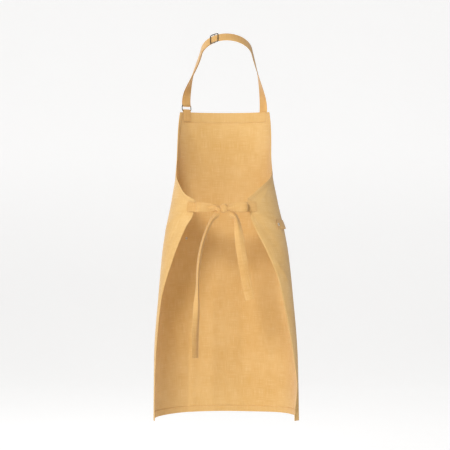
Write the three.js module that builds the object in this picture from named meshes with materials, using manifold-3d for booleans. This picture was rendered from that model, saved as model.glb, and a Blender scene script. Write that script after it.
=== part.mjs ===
// Artist smock apron in its worn shape: a canvas panel with a bib that wraps round to the
// back, an adjustable neck strap with a metal slider, waist ties knotted in a bow, a riveted
// towel loop on the right hip and a divided front pocket.
//
// Units are millimetres. +Z is up, -Y is the wearer's front and +X the wearer's left.
// The origin is the point where the neck strap rests on the back of the neck.
// A place on the cloth is given by its turn, in degrees round the body from the front
// centre (positive towards the wearer's left), and its drop below the origin.

import * as THREE from 'three';
import Module from 'manifold-3d';
import { mergeVertices } from 'three/addons/utils/BufferGeometryUtils.js';

const wasm = await Module();
wasm.setup();

// ---------------------------------------------------------------- driving dimensions

const gap = 0.3; // clearance between neighbouring pieces
const clothThick = 1.6; // canvas panel
const foldThick = 1.0; // turned hems, facings and binding tape

const bibTop = 205; // drops below the neck rest
const armholeDip = 396;
const tieLine = 474;
const hipLine = 632;
const hemLine = 1117;

const bibHalfWidth = 160; // half-widths of the body that the cloth goes round
const ribHalfWidth = 141;
const waistHalfWidth = 157;
const hipHalfWidth = 187;
const hemHalfWidth = 213.5;

const chestFront = 222; // how far the cloth stands in front of the neck rest
const waistFront = 205;
const hemFront = 277;

const bibTurn = 55; // how far round the bib's top corners lie
const tieTurnLeft = 148; // and the corners that carry the waist ties
const tieTurnRight = 154.5;
const hemTurn = 99; // and the hem's back corners

const facingDepth = 30;
const hemDepth = 18;
const bandShare = 0.045; // width of edge bands, as a share of each half panel

const strapWidth = 28; // neck strap and waist ties
const strapThick = 2;
const tieThick = 1.6;

const neckRadius = 75; // inner face of the neck strap
const neckTilt = 38; // degrees its plane dips towards the front
const arcEnd = 80; // degrees each way that the strap stays on that circle
const strapTurn = 45; // where the strap meets the bib
const strapSewn = 35; // length of the strap's end sewn on the bib

const wireRadius = 1.4; // slider and ring
const sliderTurn = 27.5; // place of the slider round the neck
const sliderLength = 27.5;
const ringInnerHeight = 12;
const ringRise = 6; // ring's lower bar above the bib's top edge

const knotWidth = 35;
const knotDepth = 18;
const knotHeight = 26;
const knotX = 13.5;
const knotDrop = 496;
const loopLengthLeft = 56;
const loopLengthRight = 55;
const loopHalfDepth = 8;
const tailPlay = 1; // room under the knot in which a tail swings
const tailTop = 22; // from the mid-plane to the middle of the left tail's top
const tailSpread = strapWidth + 2; // between the middles of the two tails' tops

const towelLoopFrom = 75; // turns of the towel loop's ends, on the wearer's right
const towelLoopTo = 122;
const towelLoopDrop = 544;
const towelLoopWidth = 28;
const towelLoopStand = 8;

const pocketTop = 575;
const pocketBottom = 795;
const pocketBulge = 13;
const pocketHemDepth = 20;
const pocketColumns = 12;

const rivetRadius = 4.75;
const rivetDome = 2.2;
const shankRadius = 1.5;
const backRadius = 4;
const backThick = 1;
const bedding = 0.7; // room that a flat disc needs over curved cloth
const strayGap = 0.6; // clearance under a strip whose facets don't line up with the panel's

const panelColumns = 36;

// ---------------------------------------------------------------- materials

function finish(color, roughness, metalness = 0) {
  return new THREE.MeshStandardMaterial({ color, roughness, metalness });
}

const canvas = finish(0xe3a45c, 0.92);
const tape = finish(0xd99a52, 0.9);
const strapCloth = finish(0xe0a965, 0.9);
const steel = finish(0x8f8a80, 0.35, 1);
const rivetMetal = finish(0xa08a68, 0.4, 1);

// ---------------------------------------------------------------- small helpers

// A smooth curve through [x, y] pairs that doesn't overshoot them (monotone cubic).
function profile(points) {
  const count = points.length;
  const secant = [];
  for (let i = 0; i < count - 1; i++) {
    secant.push((points[i + 1][1] - points[i][1]) / (points[i + 1][0] - points[i][0]));
  }
  const slope = [secant[0]];
  for (let i = 1; i < count - 1; i++) {
    const product = secant[i - 1] * secant[i];
    slope.push(product <= 0 ? 0 : (2 * product) / (secant[i - 1] + secant[i]));
  }
  slope.push(secant[count - 2]);
  return (x) => {
    const at = THREE.MathUtils.clamp(x, points[0][0], points[count - 1][0]);
    let i = 0;
    while (i < count - 2 && at > points[i + 1][0]) i++;
    const step = points[i + 1][0] - points[i][0];
    const t = (at - points[i][0]) / step;
    const t2 = t * t;
    const t3 = t2 * t;
    return (
      (2 * t3 - 3 * t2 + 1) * points[i][1] +
      (t3 - 2 * t2 + t) * step * slope[i] +
      (3 * t2 - 2 * t3) * points[i + 1][1] +
      (t3 - t2) * step * slope[i + 1]
    );
  };
}

const radians = THREE.MathUtils.degToRad;
const mix = THREE.MathUtils.lerp;

// Evenly spaced values from a to b, both included.
function steps(a, b, count) {
  return Array.from({ length: count + 1 }, (_, i) => mix(a, b, i / count));
}

// Merges shared corners and makes the faces point out, so that the shape is one closed body.
function closed(geometry) {
  geometry.deleteAttribute('normal');
  geometry.deleteAttribute('uv');
  const merged = mergeVertices(geometry, 1e-4);
  const p = merged.attributes.position;
  const index = merged.index.array;
  const corner = [0, 1, 2].map(() => new THREE.Vector3());
  let volume = 0;
  for (let i = 0; i < index.length; i += 3) {
    corner.forEach((c, k) => c.fromBufferAttribute(p, index[i + k]));
    volume += corner[0].dot(corner[1].clone().cross(corner[2]));
  }
  if (volume < 0) {
    for (let i = 0; i < index.length; i += 3) {
      [index[i], index[i + 1]] = [index[i + 1], index[i]];
    }
  }
  merged.computeVertexNormals();
  return merged;
}

// A plate one cell thick, bent by placing each corner (u along, v across, w through, 0 to 1).
// Its two broad faces are cut along the same diagonals, so that plates can lie on each other.
function bentPlate(along, across, place) {
  const plate = new THREE.BoxGeometry(1, 1, 1, along, across, 1);
  const index = plate.index.array;
  const back = plate.groups[5];
  for (let i = back.start; i < back.start + back.count; i += 6) {
    const [a, b, d, , c] = index.slice(i, i + 5);
    index.set([a, b, c, a, c, d], i);
  }
  const p = plate.attributes.position;
  for (let i = 0; i < p.count; i++) {
    const spot = place(p.getX(i) + 0.5, p.getY(i) + 0.5, p.getZ(i) + 0.5);
    p.setXYZ(i, spot.x, spot.y, spot.z);
  }
  return closed(plate);
}

function toSolid(geometry) {
  return new wasm.Manifold(
    new wasm.Mesh({
      numProp: 3,
      vertProperties: Float32Array.from(geometry.attributes.position.array),
      triVerts: Uint32Array.from(geometry.index.array),
    }),
  );
}

function fromSolid(solid) {
  const mesh = solid.getMesh();
  const geometry = new THREE.BufferGeometry();
  geometry.setAttribute('position', new THREE.BufferAttribute(mesh.vertProperties, 3));
  geometry.setIndex(new THREE.BufferAttribute(mesh.triVerts, 1));
  geometry.computeVertexNormals();
  return geometry;
}

// ---------------------------------------------------------------- the worn surface

const halfWidth = profile([
  [bibTop, bibHalfWidth],
  [armholeDip - 34, ribHalfWidth],
  [tieLine, waistHalfWidth],
  [mix(tieLine, hipLine, 0.5), mix(waistHalfWidth, hipHalfWidth, 0.56)],
  [hipLine, hipHalfWidth],
  [mix(hipLine, hemLine, 0.26), mix(hipHalfWidth, hemHalfWidth, 0.44)],
  [mix(hipLine, hemLine, 0.64), mix(hipHalfWidth, hemHalfWidth, 0.94)],
  [hemLine, hemHalfWidth],
]);
const centreX = profile([
  [bibTop, 5],
  [armholeDip, 7],
  [hipLine, 3.5],
  [hemLine, 0],
]);
const frontY = profile([
  [bibTop, -chestFront],
  [armholeDip, -mix(chestFront, waistFront, 0.6)],
  [tieLine, -waistFront],
  [hipLine, -mix(waistFront, hemFront, 0.24)],
  [mix(hipLine, hemLine, 0.35), -mix(waistFront, hemFront, 0.51)],
  [hemLine, -hemFront],
]);
const widestY = profile([
  [bibTop, -100],
  [tieLine, -100],
  [hipLine, -95],
  [mix(hipLine, hemLine, 0.35), -80],
  [hemLine, -50],
]);
const backDepth = profile([
  [bibTop, 105],
  [tieLine, 105],
  [hipLine, 112],
  [mix(hipLine, hemLine, 0.35), 108],
  [hemLine, 100],
]);
// Squareness of the section: 2 is an ellipse, more is boxier.
const squareLeft = profile([
  [tieLine, 2.1],
  [hemLine, 2.4],
]);
const squareRight = profile([
  [tieLine, 2.1],
  [hemLine, 3.2],
]);

// Where the panel's side edges lie: the armhole curve, the tie corner, then the back edge.
const skirt = (share) => mix(tieLine, hemLine, share);
const edgeLeft = profile([
  [bibTop, bibTurn],
  [mix(bibTop, armholeDip, 0.5), bibTurn + 17],
  [armholeDip - 34, bibTurn + 30],
  [armholeDip + 4, bibTurn + 46],
  [mix(armholeDip, tieLine, 0.37), tieTurnLeft - 30.5],
  [mix(armholeDip, tieLine, 0.76), tieTurnLeft - 15],
  [tieLine + 3, tieTurnLeft],
  [skirt(0.06), tieTurnLeft - 1],
  [skirt(0.12), tieTurnLeft - 8],
  [skirt(0.29), hemTurn + 26.5],
  [skirt(0.49), hemTurn + 11],
  [skirt(0.66), hemTurn + 8.5],
  [skirt(0.88), hemTurn + 2],
  [hemLine, hemTurn],
]);
const edgeRight = profile([
  [bibTop, bibTurn],
  [mix(bibTop, armholeDip, 0.5), bibTurn + 17],
  [armholeDip - 34, bibTurn + 29],
  [armholeDip, bibTurn + 47],
  [mix(armholeDip, tieLine, 0.18), tieTurnRight - 39.5],
  [mix(armholeDip, tieLine, 0.46), tieTurnRight - 21.5],
  [mix(armholeDip, tieLine, 0.79), tieTurnRight - 6],
  [tieLine - 4, tieTurnRight],
  [skirt(0.06), tieTurnRight - 0.5],
  [skirt(0.22), tieTurnRight - 12],
  [skirt(0.36), tieTurnRight - 22.5],
  [skirt(0.5), hemTurn + 28],
  [skirt(0.65), hemTurn + 24.5],
  [skirt(0.77), hemTurn + 19.5],
  [skirt(0.88), hemTurn + 12],
  [hemLine, hemTurn],
]);

function sectionPoint(turn, drop) {
  const s = Math.sin(radians(turn));
  const c = Math.cos(radians(turn));
  const n = turn > 0 ? squareLeft(drop) : squareRight(drop);
  const reach = (Math.abs(c) ** n + Math.abs(s) ** n) ** (-1 / n);
  const depth = c > 0 ? widestY(drop) - frontY(drop) : backDepth(drop);
  return new THREE.Vector3(
    centreX(drop) + halfWidth(drop) * reach * s,
    widestY(drop) - depth * reach * c,
    -drop,
  );
}

// Outward normal, the direction of growing turn, and up, at a place on the cloth.
function directions(turn, drop) {
  const side = sectionPoint(turn + 0.5, drop).sub(sectionPoint(turn - 0.5, drop)).normalize();
  const above = sectionPoint(turn, Math.max(drop - 1, bibTop));
  const up = above.sub(sectionPoint(turn, Math.min(drop + 1, hemLine))).normalize();
  const out = side.clone().cross(up).normalize();
  return { side, up: out.clone().cross(side), out };
}

function clothPoint(turn, drop, lift) {
  return sectionPoint(turn, drop).addScaledVector(directions(turn, drop).out, lift);
}

// Share of the half panel (-1 at the right edge, 0 at the front, 1 at the left) to a turn.
function panelTurn(share, drop) {
  return share > 0 ? share * edgeLeft(drop) : share * edgeRight(drop);
}

const faceLift = clothThick / 2;
const columns = [-1, ...steps(bandShare - 1, 1 - bandShare, panelColumns), 1];
const rows = [
  bibTop,
  ...steps(bibTop + facingDepth, armholeDip - 8, 5),
  ...steps(armholeDip, tieLine, 6),
  ...steps(tieLine + 14, pocketTop, 3),
  pocketTop + pocketHemDepth,
  ...steps(mix(pocketTop + pocketHemDepth, pocketBottom, 0.25), pocketBottom, 3),
  ...steps(mix(pocketBottom, hemLine, 0.14), hemLine - hemDepth, 6),
  hemLine,
];
const rowAt = (drop) => rows.findIndex((r) => Math.abs(r - drop) < 1e-6);
const lastColumn = columns.length - 1;
const lastRow = rows.length - 1;

// A layer of cloth over some of the panel's cells. Lifts are numbers or functions of (u, v).
function clothLayer(firstColumn, endColumn, firstRow, endRow, inner, outer, trim = {}) {
  const along = endColumn - firstColumn;
  const down = endRow - firstRow;
  return bentPlate(along, down, (u, v, w) => {
    const column = columns[firstColumn + Math.round(u * along)];
    const row = Math.round(v * down);
    let drop = rows[firstRow + row];
    if (row === 0) drop += trim.top ?? 0;
    if (row === down) drop -= trim.bottom ?? 0;
    const lift = (w > 0.5 ? outer : inner);
    const value = typeof lift === 'function' ? lift(u, v) : lift;
    return clothPoint(panelTurn(column, drop), drop, value);
  });
}

// ---------------------------------------------------------------- rivets

function rivetFrame(turn, drop) {
  const group = new THREE.Group();
  const { side, up, out } = directions(turn, drop);
  group.position.copy(sectionPoint(turn, drop));
  group.quaternion.setFromRotationMatrix(new THREE.Matrix4().makeBasis(side, up, out));
  group.updateMatrixWorld();
  return group;
}

// Cuts the shank's clearance hole through a layer of cloth at a rivet.
function punched(geometry, spots) {
  let solid = toSolid(geometry);
  for (const spot of spots) {
    const drill = new THREE.CylinderGeometry(shankRadius + gap, shankRadius + gap, 30, 16);
    drill.rotateX(Math.PI / 2).applyMatrix4(spot.matrixWorld);
    solid = solid.subtract(toSolid(closed(drill)));
  }
  return fromSolid(solid);
}

// Domed cap with its shank, seated on a face that stands `seat` above the cloth's middle.
function rivetCap(seat) {
  const foot = -faceLift - bedding - backThick;
  const points = [new THREE.Vector2(0, foot), new THREE.Vector2(shankRadius, foot)];
  points.push(new THREE.Vector2(shankRadius, seat));
  points.push(new THREE.Vector2(rivetRadius, seat));
  for (const angle of steps(0, 80, 4)) {
    points.push(
      new THREE.Vector2(
        rivetRadius * Math.cos(radians(angle)),
        seat + 0.6 + (rivetDome - 0.6) * Math.sin(radians(angle)),
      ),
    );
  }
  points.push(new THREE.Vector2(0, seat + rivetDome));
  return closed(new THREE.LatheGeometry(points, 16).rotateX(Math.PI / 2));
}

// Washer pressed on the shank behind the cloth.
function rivetBack() {
  const near = -faceLift - bedding;
  const hole = shankRadius + gap;
  const points = [
    [hole, near - backThick],
    [backRadius, near - backThick],
    [backRadius, near],
    [hole, near],
    [hole, near - backThick],
  ].map(([r, z]) => new THREE.Vector2(r, z));
  return closed(new THREE.LatheGeometry(points, 16).rotateX(Math.PI / 2));
}

// ---------------------------------------------------------------- assembly

const apron = new THREE.Group();

function add(name, geometry, material, parent = apron) {
  const mesh = new THREE.Mesh(geometry, material);
  mesh.name = name;
  parent.add(mesh);
  return mesh;
}

const layerOut = faceLift + gap;
const stripOut = faceLift + strayGap;
const layerSeat = layerOut + clothThick + bedding;
const stripSeat = stripOut + clothThick + bedding;

const loopRivets = {
  front: rivetFrame(-towelLoopFrom - 3.5, towelLoopDrop),
  rear: rivetFrame(-towelLoopTo + 3.5, towelLoopDrop),
};

const firstPocket = (lastColumn - pocketColumns) / 2;
const endPocket = firstPocket + pocketColumns;
const pocketRivetShare = 1 - bandShare - ((1 - bandShare) * 2 * (firstPocket - 0.5)) / panelColumns;
const pocketRivetDrop = pocketTop + pocketHemDepth / 2;
const pocketRivets = {
  left: rivetFrame(panelTurn(pocketRivetShare, pocketRivetDrop), pocketRivetDrop),
  right: rivetFrame(panelTurn(-pocketRivetShare, pocketRivetDrop), pocketRivetDrop),
};

// Panel and its bands.
const allRivets = [...Object.values(loopRivets), ...Object.values(pocketRivets)];
const panel = clothLayer(0, lastColumn, 0, lastRow, -faceLift, faceLift);
add('apron_panel', punched(panel, allRivets), canvas);

const foldIn = [-faceLift - gap - foldThick, -faceLift - gap];
const foldOut = [faceLift + gap, faceLift + gap + foldThick];
const tieRow = rowAt(tieLine);
const hemRow = lastRow - 1;
add('bib_facing', clothLayer(1, lastColumn - 1, 0, 1, ...foldIn), tape);
add('armhole_binding_left', clothLayer(lastColumn - 1, lastColumn, 0, tieRow - 1, ...foldOut), tape);
add('armhole_binding_right', clothLayer(0, 1, 0, tieRow - 1, ...foldOut), tape);
const hemTrim = { bottom: gap };
add(
  'back_hem_left',
  clothLayer(lastColumn - 1, lastColumn, tieRow, hemRow, ...foldIn, hemTrim),
  tape,
);
add('back_hem_right', clothLayer(0, 1, tieRow, hemRow, ...foldIn, hemTrim), tape);
add('bottom_hem', clothLayer(0, lastColumn, hemRow, lastRow, ...foldIn), tape);

// Pocket: sewn down at its sides, foot and centre line, and standing open between them.
const pocketSeam = 1 / 6; // share of each half that lies flat at either end
function pocketStand(u, v) {
  const along = ((u * 2) % 1 - pocketSeam) / (1 - 2 * pocketSeam);
  const open = Math.sin(Math.PI * THREE.MathUtils.clamp(along, 0, 1));
  return pocketBulge * open * Math.sqrt(1 - v);
}

const pocketFirstRow = rowAt(pocketTop);
const pocketEndRow = rowAt(pocketBottom);
const pocket = clothLayer(
  firstPocket,
  endPocket,
  pocketFirstRow,
  pocketEndRow,
  (u, v) => layerOut + pocketStand(u, v),
  (u, v) => layerOut + clothThick + pocketStand(u, v),
);
add('front_pocket', punched(pocket, Object.values(pocketRivets)), canvas);

for (const [name, spot] of Object.entries(pocketRivets)) {
  add(`pocket_rivet_cap_${name}`, rivetCap(layerSeat), rivetMetal, spot);
  add(`pocket_rivet_back_${name}`, rivetBack(), rivetMetal, spot);
  apron.add(spot);
}

// Towel loop: a strip riveted at both ends that stands off the hip between them.
const standShape = (u) => Math.sin(Math.PI * THREE.MathUtils.clamp((u - 0.16) / 0.68, 0, 1)) ** 0.7;
const towelLoop = bentPlate(22, 2, (u, v, w) => {
  const turn = -mix(towelLoopFrom, towelLoopTo, u);
  const drop = towelLoopDrop + (0.5 - v) * towelLoopWidth;
  const lift = stripOut + w * clothThick + towelLoopStand * standShape(u);
  return clothPoint(turn, drop, lift);
});
add('towel_loop', punched(towelLoop, Object.values(loopRivets)), strapCloth);
for (const [name, spot] of Object.entries(loopRivets)) {
  add(`towel_loop_rivet_cap_${name}`, rivetCap(stripSeat), rivetMetal, spot);
  add(`towel_loop_rivet_back_${name}`, rivetBack(), rivetMetal, spot);
  apron.add(spot);
}

// ---------------------------------------------------------------- ribbons

// A flat strap through stations, each with its centre and the way its face looks.
function ribbon(stations, width, thick) {
  const last = stations.length - 1;
  const frames = stations.map((station, i) => {
    const before = stations[Math.max(i - 1, 0)].centre;
    const after = stations[Math.min(i + 1, last)].centre;
    const ahead = after.clone().sub(before).normalize();
    const face = station.face.clone().addScaledVector(ahead, -station.face.dot(ahead)).normalize();
    return { centre: station.centre, face, side: ahead.clone().cross(face) };
  });
  return bentPlate(last, 2, (u, v, w) => {
    const i = Math.round(u * last);
    const across = typeof width === 'function' ? width(u) : width;
    return frames[i].centre
      .clone()
      .addScaledVector(frames[i].side, (v - 0.5) * across)
      .addScaledVector(frames[i].face, (w - 0.5) * thick);
  });
}

// ---------------------------------------------------------------- neck strap

const ahead = new THREE.Vector3(1, 0, 0);
const rise = new THREE.Vector3(0, Math.cos(radians(neckTilt)), Math.sin(radians(neckTilt)));
const neckAxis = ahead.clone().cross(rise);
const neckCentre = rise.clone().multiplyScalar(-neckRadius);

// A point by the neck circle: its angle, its height across the strap and its lift outwards.
function neckPoint(angle, across, lift) {
  return neckCentre
    .clone()
    .addScaledVector(neckOut(angle), neckRadius + lift)
    .addScaledVector(neckAxis, across);
}

function neckOut(angle) {
  return ahead
    .clone()
    .multiplyScalar(Math.sin(radians(angle)))
    .addScaledVector(rise, Math.cos(radians(angle)));
}

// Frame of a bib corner: x along the top edge, y up and z out of the cloth.
function cornerFrame(turn) {
  const group = new THREE.Group();
  const { side, up, out } = directions(turn, bibTop);
  group.position.copy(sectionPoint(turn, bibTop));
  group.quaternion.setFromRotationMatrix(new THREE.Matrix4().makeBasis(side, up, out));
  group.updateMatrixWorld();
  return { group, side, up, out };
}

const leftCorner = cornerFrame(strapTurn);
const rightCorner = cornerFrame(-strapTurn);
const upperBar = ringRise + ringInnerHeight + 2 * wireRadius;
const turnRadius = wireRadius + gap + strapThick / 2;
const innerRun = 10; // straight part of the strap behind the ring

function atCorner(corner, up, out) {
  return corner.group.position
    .clone()
    .addScaledVector(corner.up, up)
    .addScaledVector(corner.out, out);
}

// The stretch between a bib corner and the neck circle, both ends left out.
function chestRun(corner, from, side) {
  const reach = 60;
  const end = neckPoint(side * arcEnd, 0, strapThick / 2);
  const leave = neckOut(side * (arcEnd + 90));
  const curve = new THREE.CubicBezierCurve3(
    from,
    from.clone().addScaledVector(corner.up, reach),
    end.clone().addScaledVector(leave, reach),
    end,
  );
  return steps(1 / 16, 15 / 16, 14).map((t) => {
    const face = corner.out.clone().lerp(neckOut(side * arcEnd), t * t * (3 - 2 * t));
    const tangent = curve.getTangent(t);
    face.addScaledVector(tangent, -face.dot(tangent)).normalize();
    return { centre: curve.getPoint(t), face };
  });
}

const leftStart = atCorner(leftCorner, upperBar + 4, turnRadius);
const rightStart = atCorner(rightCorner, 2, layerOut + strapThick / 2);
const leftRun = chestRun(leftCorner, leftStart, 1);
const rightRun = chestRun(rightCorner, rightStart, -1);

const turnRound = steps(-180, 0, 8).map((angle) => ({
  centre: atCorner(
    leftCorner,
    upperBar + turnRadius * Math.sin(radians(angle)),
    turnRadius * Math.cos(radians(angle)),
  ),
  face: leftCorner.out
    .clone()
    .multiplyScalar(Math.cos(radians(angle)))
    .addScaledVector(leftCorner.up, Math.sin(radians(angle))),
}));
const neckArc = steps(arcEnd, -arcEnd, 32).map((angle) => ({
  centre: neckPoint(angle, 0, strapThick / 2),
  face: neckOut(angle),
}));
const sewnEnd = steps(0, strapSewn, 3).map((down) => ({
  centre: clothPoint(-strapTurn, bibTop + down, layerOut + strapThick / 2),
  face: directions(-strapTurn, bibTop + down).out,
}));
const insideFace = leftCorner.out.clone().negate();
const strapStations = [
  { centre: atCorner(leftCorner, upperBar + innerRun, -turnRadius), face: insideFace },
  ...turnRound,
  { centre: leftStart, face: leftCorner.out },
  ...leftRun,
  ...neckArc,
  ...rightRun.reverse(),
  { centre: rightStart, face: rightCorner.out },
  ...sewnEnd,
];
add('neck_strap', ribbon(strapStations, strapWidth, strapThick), strapCloth);

// The doubled part of the strap, from behind the ring to the slider's bar, just inside it.
const barPlay = wireRadius + gap;
const barAngle = THREE.MathUtils.radToDeg(barPlay / neckRadius);
const under = strapThick + gap;
const slack = 0.8; // more room between the layers where the strap twists
const returnRun = leftRun.map((station, i) => {
  const apart = mix(2 * turnRadius, under + slack, Math.min(1, (i + 1) / 8));
  return {
    centre: station.centre.clone().addScaledVector(station.face, -apart),
    face: station.face,
  };
});
const returnStart = upperBar + innerRun + gap;
const returnStations = [
  { centre: atCorner(leftCorner, returnStart, -turnRadius), face: leftCorner.out },
  { centre: atCorner(leftCorner, returnStart + 3, -turnRadius), face: leftCorner.out },
  ...returnRun.slice(1),
  ...steps(arcEnd, sliderTurn + barAngle, 12).map((angle, i) => ({
    centre: neckPoint(angle, 0, strapThick / 2 - under - slack * Math.max(0, 1 - i / 4)),
    face: neckOut(angle),
  })),
];
add('neck_strap_return', ribbon(returnStations, strapWidth - 2, strapThick), strapCloth);

// ---------------------------------------------------------------- metal of the neck strap

// A closed rounded-rectangle wire in its own plane, made from a torus.
function wireLoop(halfX, halfY, radius, place) {
  const torus = new THREE.TorusGeometry(1, 0.25, 8, 40);
  const p = torus.attributes.position;
  for (let i = 0; i < p.count; i++) {
    const [x, y, z] = [p.getX(i), p.getY(i), p.getZ(i)];
    const angle = Math.atan2(y, x);
    const [c, s] = [Math.cos(angle), Math.sin(angle)];
    const reach = (Math.abs(c) ** 14 + Math.abs(s) ** 14) ** (-1 / 14);
    const away = (Math.hypot(x, y) - 1) * (radius / 0.25);
    const normal = new THREE.Vector2(c ** 13 / halfX, s ** 13 / halfY).normalize();
    const spot = place(
      halfX * reach * c + away * normal.x,
      halfY * reach * s + away * normal.y,
      z * (radius / 0.25),
    );
    p.setXYZ(i, spot.x, spot.y, spot.z);
  }
  return closed(torus);
}

const railHalf = strapWidth / 2 + gap + 0.4 + wireRadius;
const wireLift = strapThick + gap + wireRadius;
const degreesPer = (length) => THREE.MathUtils.radToDeg(length / (neckRadius + wireLift));
const onNeck = (x, y, z) => neckPoint(sliderTurn + degreesPer(x), y, wireLift + z);
const sliderFrame = wireLoop(sliderLength / 2 - wireRadius, railHalf, wireRadius, onNeck);
add('slider_frame', sliderFrame, steel);

// Centre bar: runs inside the strap and ends against the two rails.
const barLift = -gap - wireRadius - wireLift;
const barEnd = railHalf;
const barStop = -2 * wireRadius - gap;
const barPath = new THREE.CatmullRomCurve3([
  onNeck(0, -barEnd, barStop),
  onNeck(0, -barEnd, barStop - 0.8),
  onNeck(0, -barEnd + 2.2, barLift),
  onNeck(0, -barEnd / 2, barLift),
  onNeck(0, 0, barLift),
  onNeck(0, barEnd / 2, barLift),
  onNeck(0, barEnd - 2.2, barLift),
  onNeck(0, barEnd, barStop - 0.8),
  onNeck(0, barEnd, barStop),
]);
const barSection = new THREE.Shape().absarc(0, 0, wireRadius * 0.8, 0, 2 * Math.PI, false);
const bar = new THREE.ExtrudeGeometry(barSection, {
  steps: 16,
  curveSegments: 5,
  bevelEnabled: false,
  extrudePath: barPath,
});
add('slider_bar', closed(bar), steel);

// Ring and its tab at the left bib corner.
const ringMiddle = ringRise + wireRadius + ringInnerHeight / 2;
const ring = wireLoop(
  railHalf,
  ringInnerHeight / 2 + wireRadius,
  wireRadius,
  (x, y, z) => new THREE.Vector3(x, y + ringMiddle, z),
);
add('strap_ring', ring, steel, leftCorner.group);

const tabDepth = 30;
const tabWidth = strapWidth - 2;
const chestRound = 130; // radius of the chest under the tab
const hollow = (tabWidth / 2) ** 2 / (2 * chestRound);
const legOut = faceLift + gap;
const legIn = faceLift + foldThick + gap + strayGap + hollow + 0.3;
const round = wireRadius + gap;
const tabOutline = new THREE.Shape();
tabOutline.moveTo(legOut, -tabDepth);
tabOutline.lineTo(legOut + strapThick, -tabDepth);
tabOutline.lineTo(legOut + strapThick, 0);
tabOutline.lineTo(round + strapThick, ringRise);
tabOutline.absarc(0, ringRise, round + strapThick, 0, Math.PI, false);
tabOutline.lineTo(-legIn - strapThick, 0);
tabOutline.lineTo(-legIn - strapThick, -tabDepth);
tabOutline.lineTo(-legIn, -tabDepth);
tabOutline.lineTo(-legIn, 0);
tabOutline.lineTo(-round, ringRise);
tabOutline.absarc(0, ringRise, round, Math.PI, 0, true);
tabOutline.lineTo(legOut, 0);
tabOutline.closePath();
const tab = new THREE.ExtrudeGeometry(tabOutline, {
  depth: tabWidth,
  curveSegments: 6,
  bevelEnabled: false,
});
tab.translate(0, 0, -tabWidth / 2).rotateY(-Math.PI / 2);
add('ring_tab', closed(tab), strapCloth, leftCorner.group);
apron.add(leftCorner.group);

// ---------------------------------------------------------------- waist ties and bow

// Each tie is sewn over its corner of the panel and follows the waist to the knot.
const sewnTurn = 9;
const knotTurnLeft = 175;
const knotTurnRight = 176;
const tieDrop = knotDrop - 4;

function waistTie(fromTurn, toTurn) {
  return bentPlate(12, 2, (u, v, w) => {
    const drop = mix(tieDrop, knotDrop, u) + (0.5 - v) * strapWidth;
    return clothPoint(mix(fromTurn, toTurn, u), drop, stripOut + w * tieThick);
  });
}

add('waist_tie_left', waistTie(tieTurnLeft - sewnTurn, knotTurnLeft), strapCloth);
add('waist_tie_right', waistTie(-tieTurnRight + sewnTurn, -knotTurnRight), strapCloth);

const tieFace = sectionPoint(180, knotDrop).y + stripOut + tieThick;
const knotY = tieFace + gap + knotDepth / 2;
const knot = new THREE.SphereGeometry(1, 20, 12);
const knotSpots = knot.attributes.position;
for (let i = 0; i < knotSpots.count; i++) {
  const spot = new THREE.Vector3().fromBufferAttribute(knotSpots, i);
  const reach = (Math.abs(spot.x) ** 3 + Math.abs(spot.y) ** 3 + Math.abs(spot.z) ** 3) ** (-1 / 3);
  spot.multiplyScalar(reach);
  knotSpots.setXYZ(
    i,
    knotX + (spot.x * knotWidth) / 2,
    knotY + (spot.y * knotDepth) / 2,
    -knotDrop + (spot.z * knotHeight) / 2,
  );
}
add('bow_knot', closed(knot), strapCloth);

// A bow loop is the tie folded back on itself: a teardrop band standing on its edge.
function bowLoop(side, length) {
  const inset = tieThick;
  const outline = new THREE.Shape();
  outline.moveTo(0, -2.6);
  outline.bezierCurveTo(length * 0.35, -loopHalfDepth, length, -loopHalfDepth * 1.6, length, 0);
  outline.bezierCurveTo(length, loopHalfDepth * 1.6, length * 0.35, loopHalfDepth, 0, 2.6);
  outline.closePath();
  const hole = new THREE.Path();
  const from = inset + 2;
  const to = length - inset;
  hole.moveTo(from, -0.9);
  hole.bezierCurveTo(length * 0.36, -loopHalfDepth + inset, to, (inset - loopHalfDepth) * 1.55, to, 0);
  hole.bezierCurveTo(to, (loopHalfDepth - inset) * 1.55, length * 0.36, loopHalfDepth - inset, from, 0.9);
  hole.closePath();
  outline.holes.push(hole);
  const band = new THREE.ExtrudeGeometry(outline, {
    depth: strapWidth,
    curveSegments: 10,
    bevelEnabled: false,
  });
  band.translate(0, 0, -strapWidth / 2).scale(side, 1, 1);
  band.translate(knotX + side * (knotWidth / 2 + gap), knotY, -knotDrop);
  return closed(band);
}

add('bow_loop_left', bowLoop(1, loopLengthLeft), strapCloth);
add('bow_loop_right', bowLoop(-1, loopLengthRight), strapCloth);

// A tail hangs from under the knot. Its points are [x, drop below its top, lean out, twist].
function tail(points, topX, topWidth) {
  const topZ = -knotDrop - strapWidth / 2 - tailPlay;
  const curve = new THREE.CatmullRomCurve3(
    points.map(([x, down, lean]) => new THREE.Vector3(topX + x, knotY + lean, topZ - down)),
  );
  const twist = profile(points.map((p, i) => [i / (points.length - 1), p[3]]));
  const stations = steps(0, 1, 24).map((t) => {
    const angle = radians(twist(t));
    return {
      centre: curve.getPoint(t),
      face: new THREE.Vector3(Math.sin(angle), Math.cos(angle), 0),
    };
  });
  const width = (u) => mix(topWidth, strapWidth, Math.min(1, u * 12));
  return ribbon(stations, width, tieThick);
}

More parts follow.
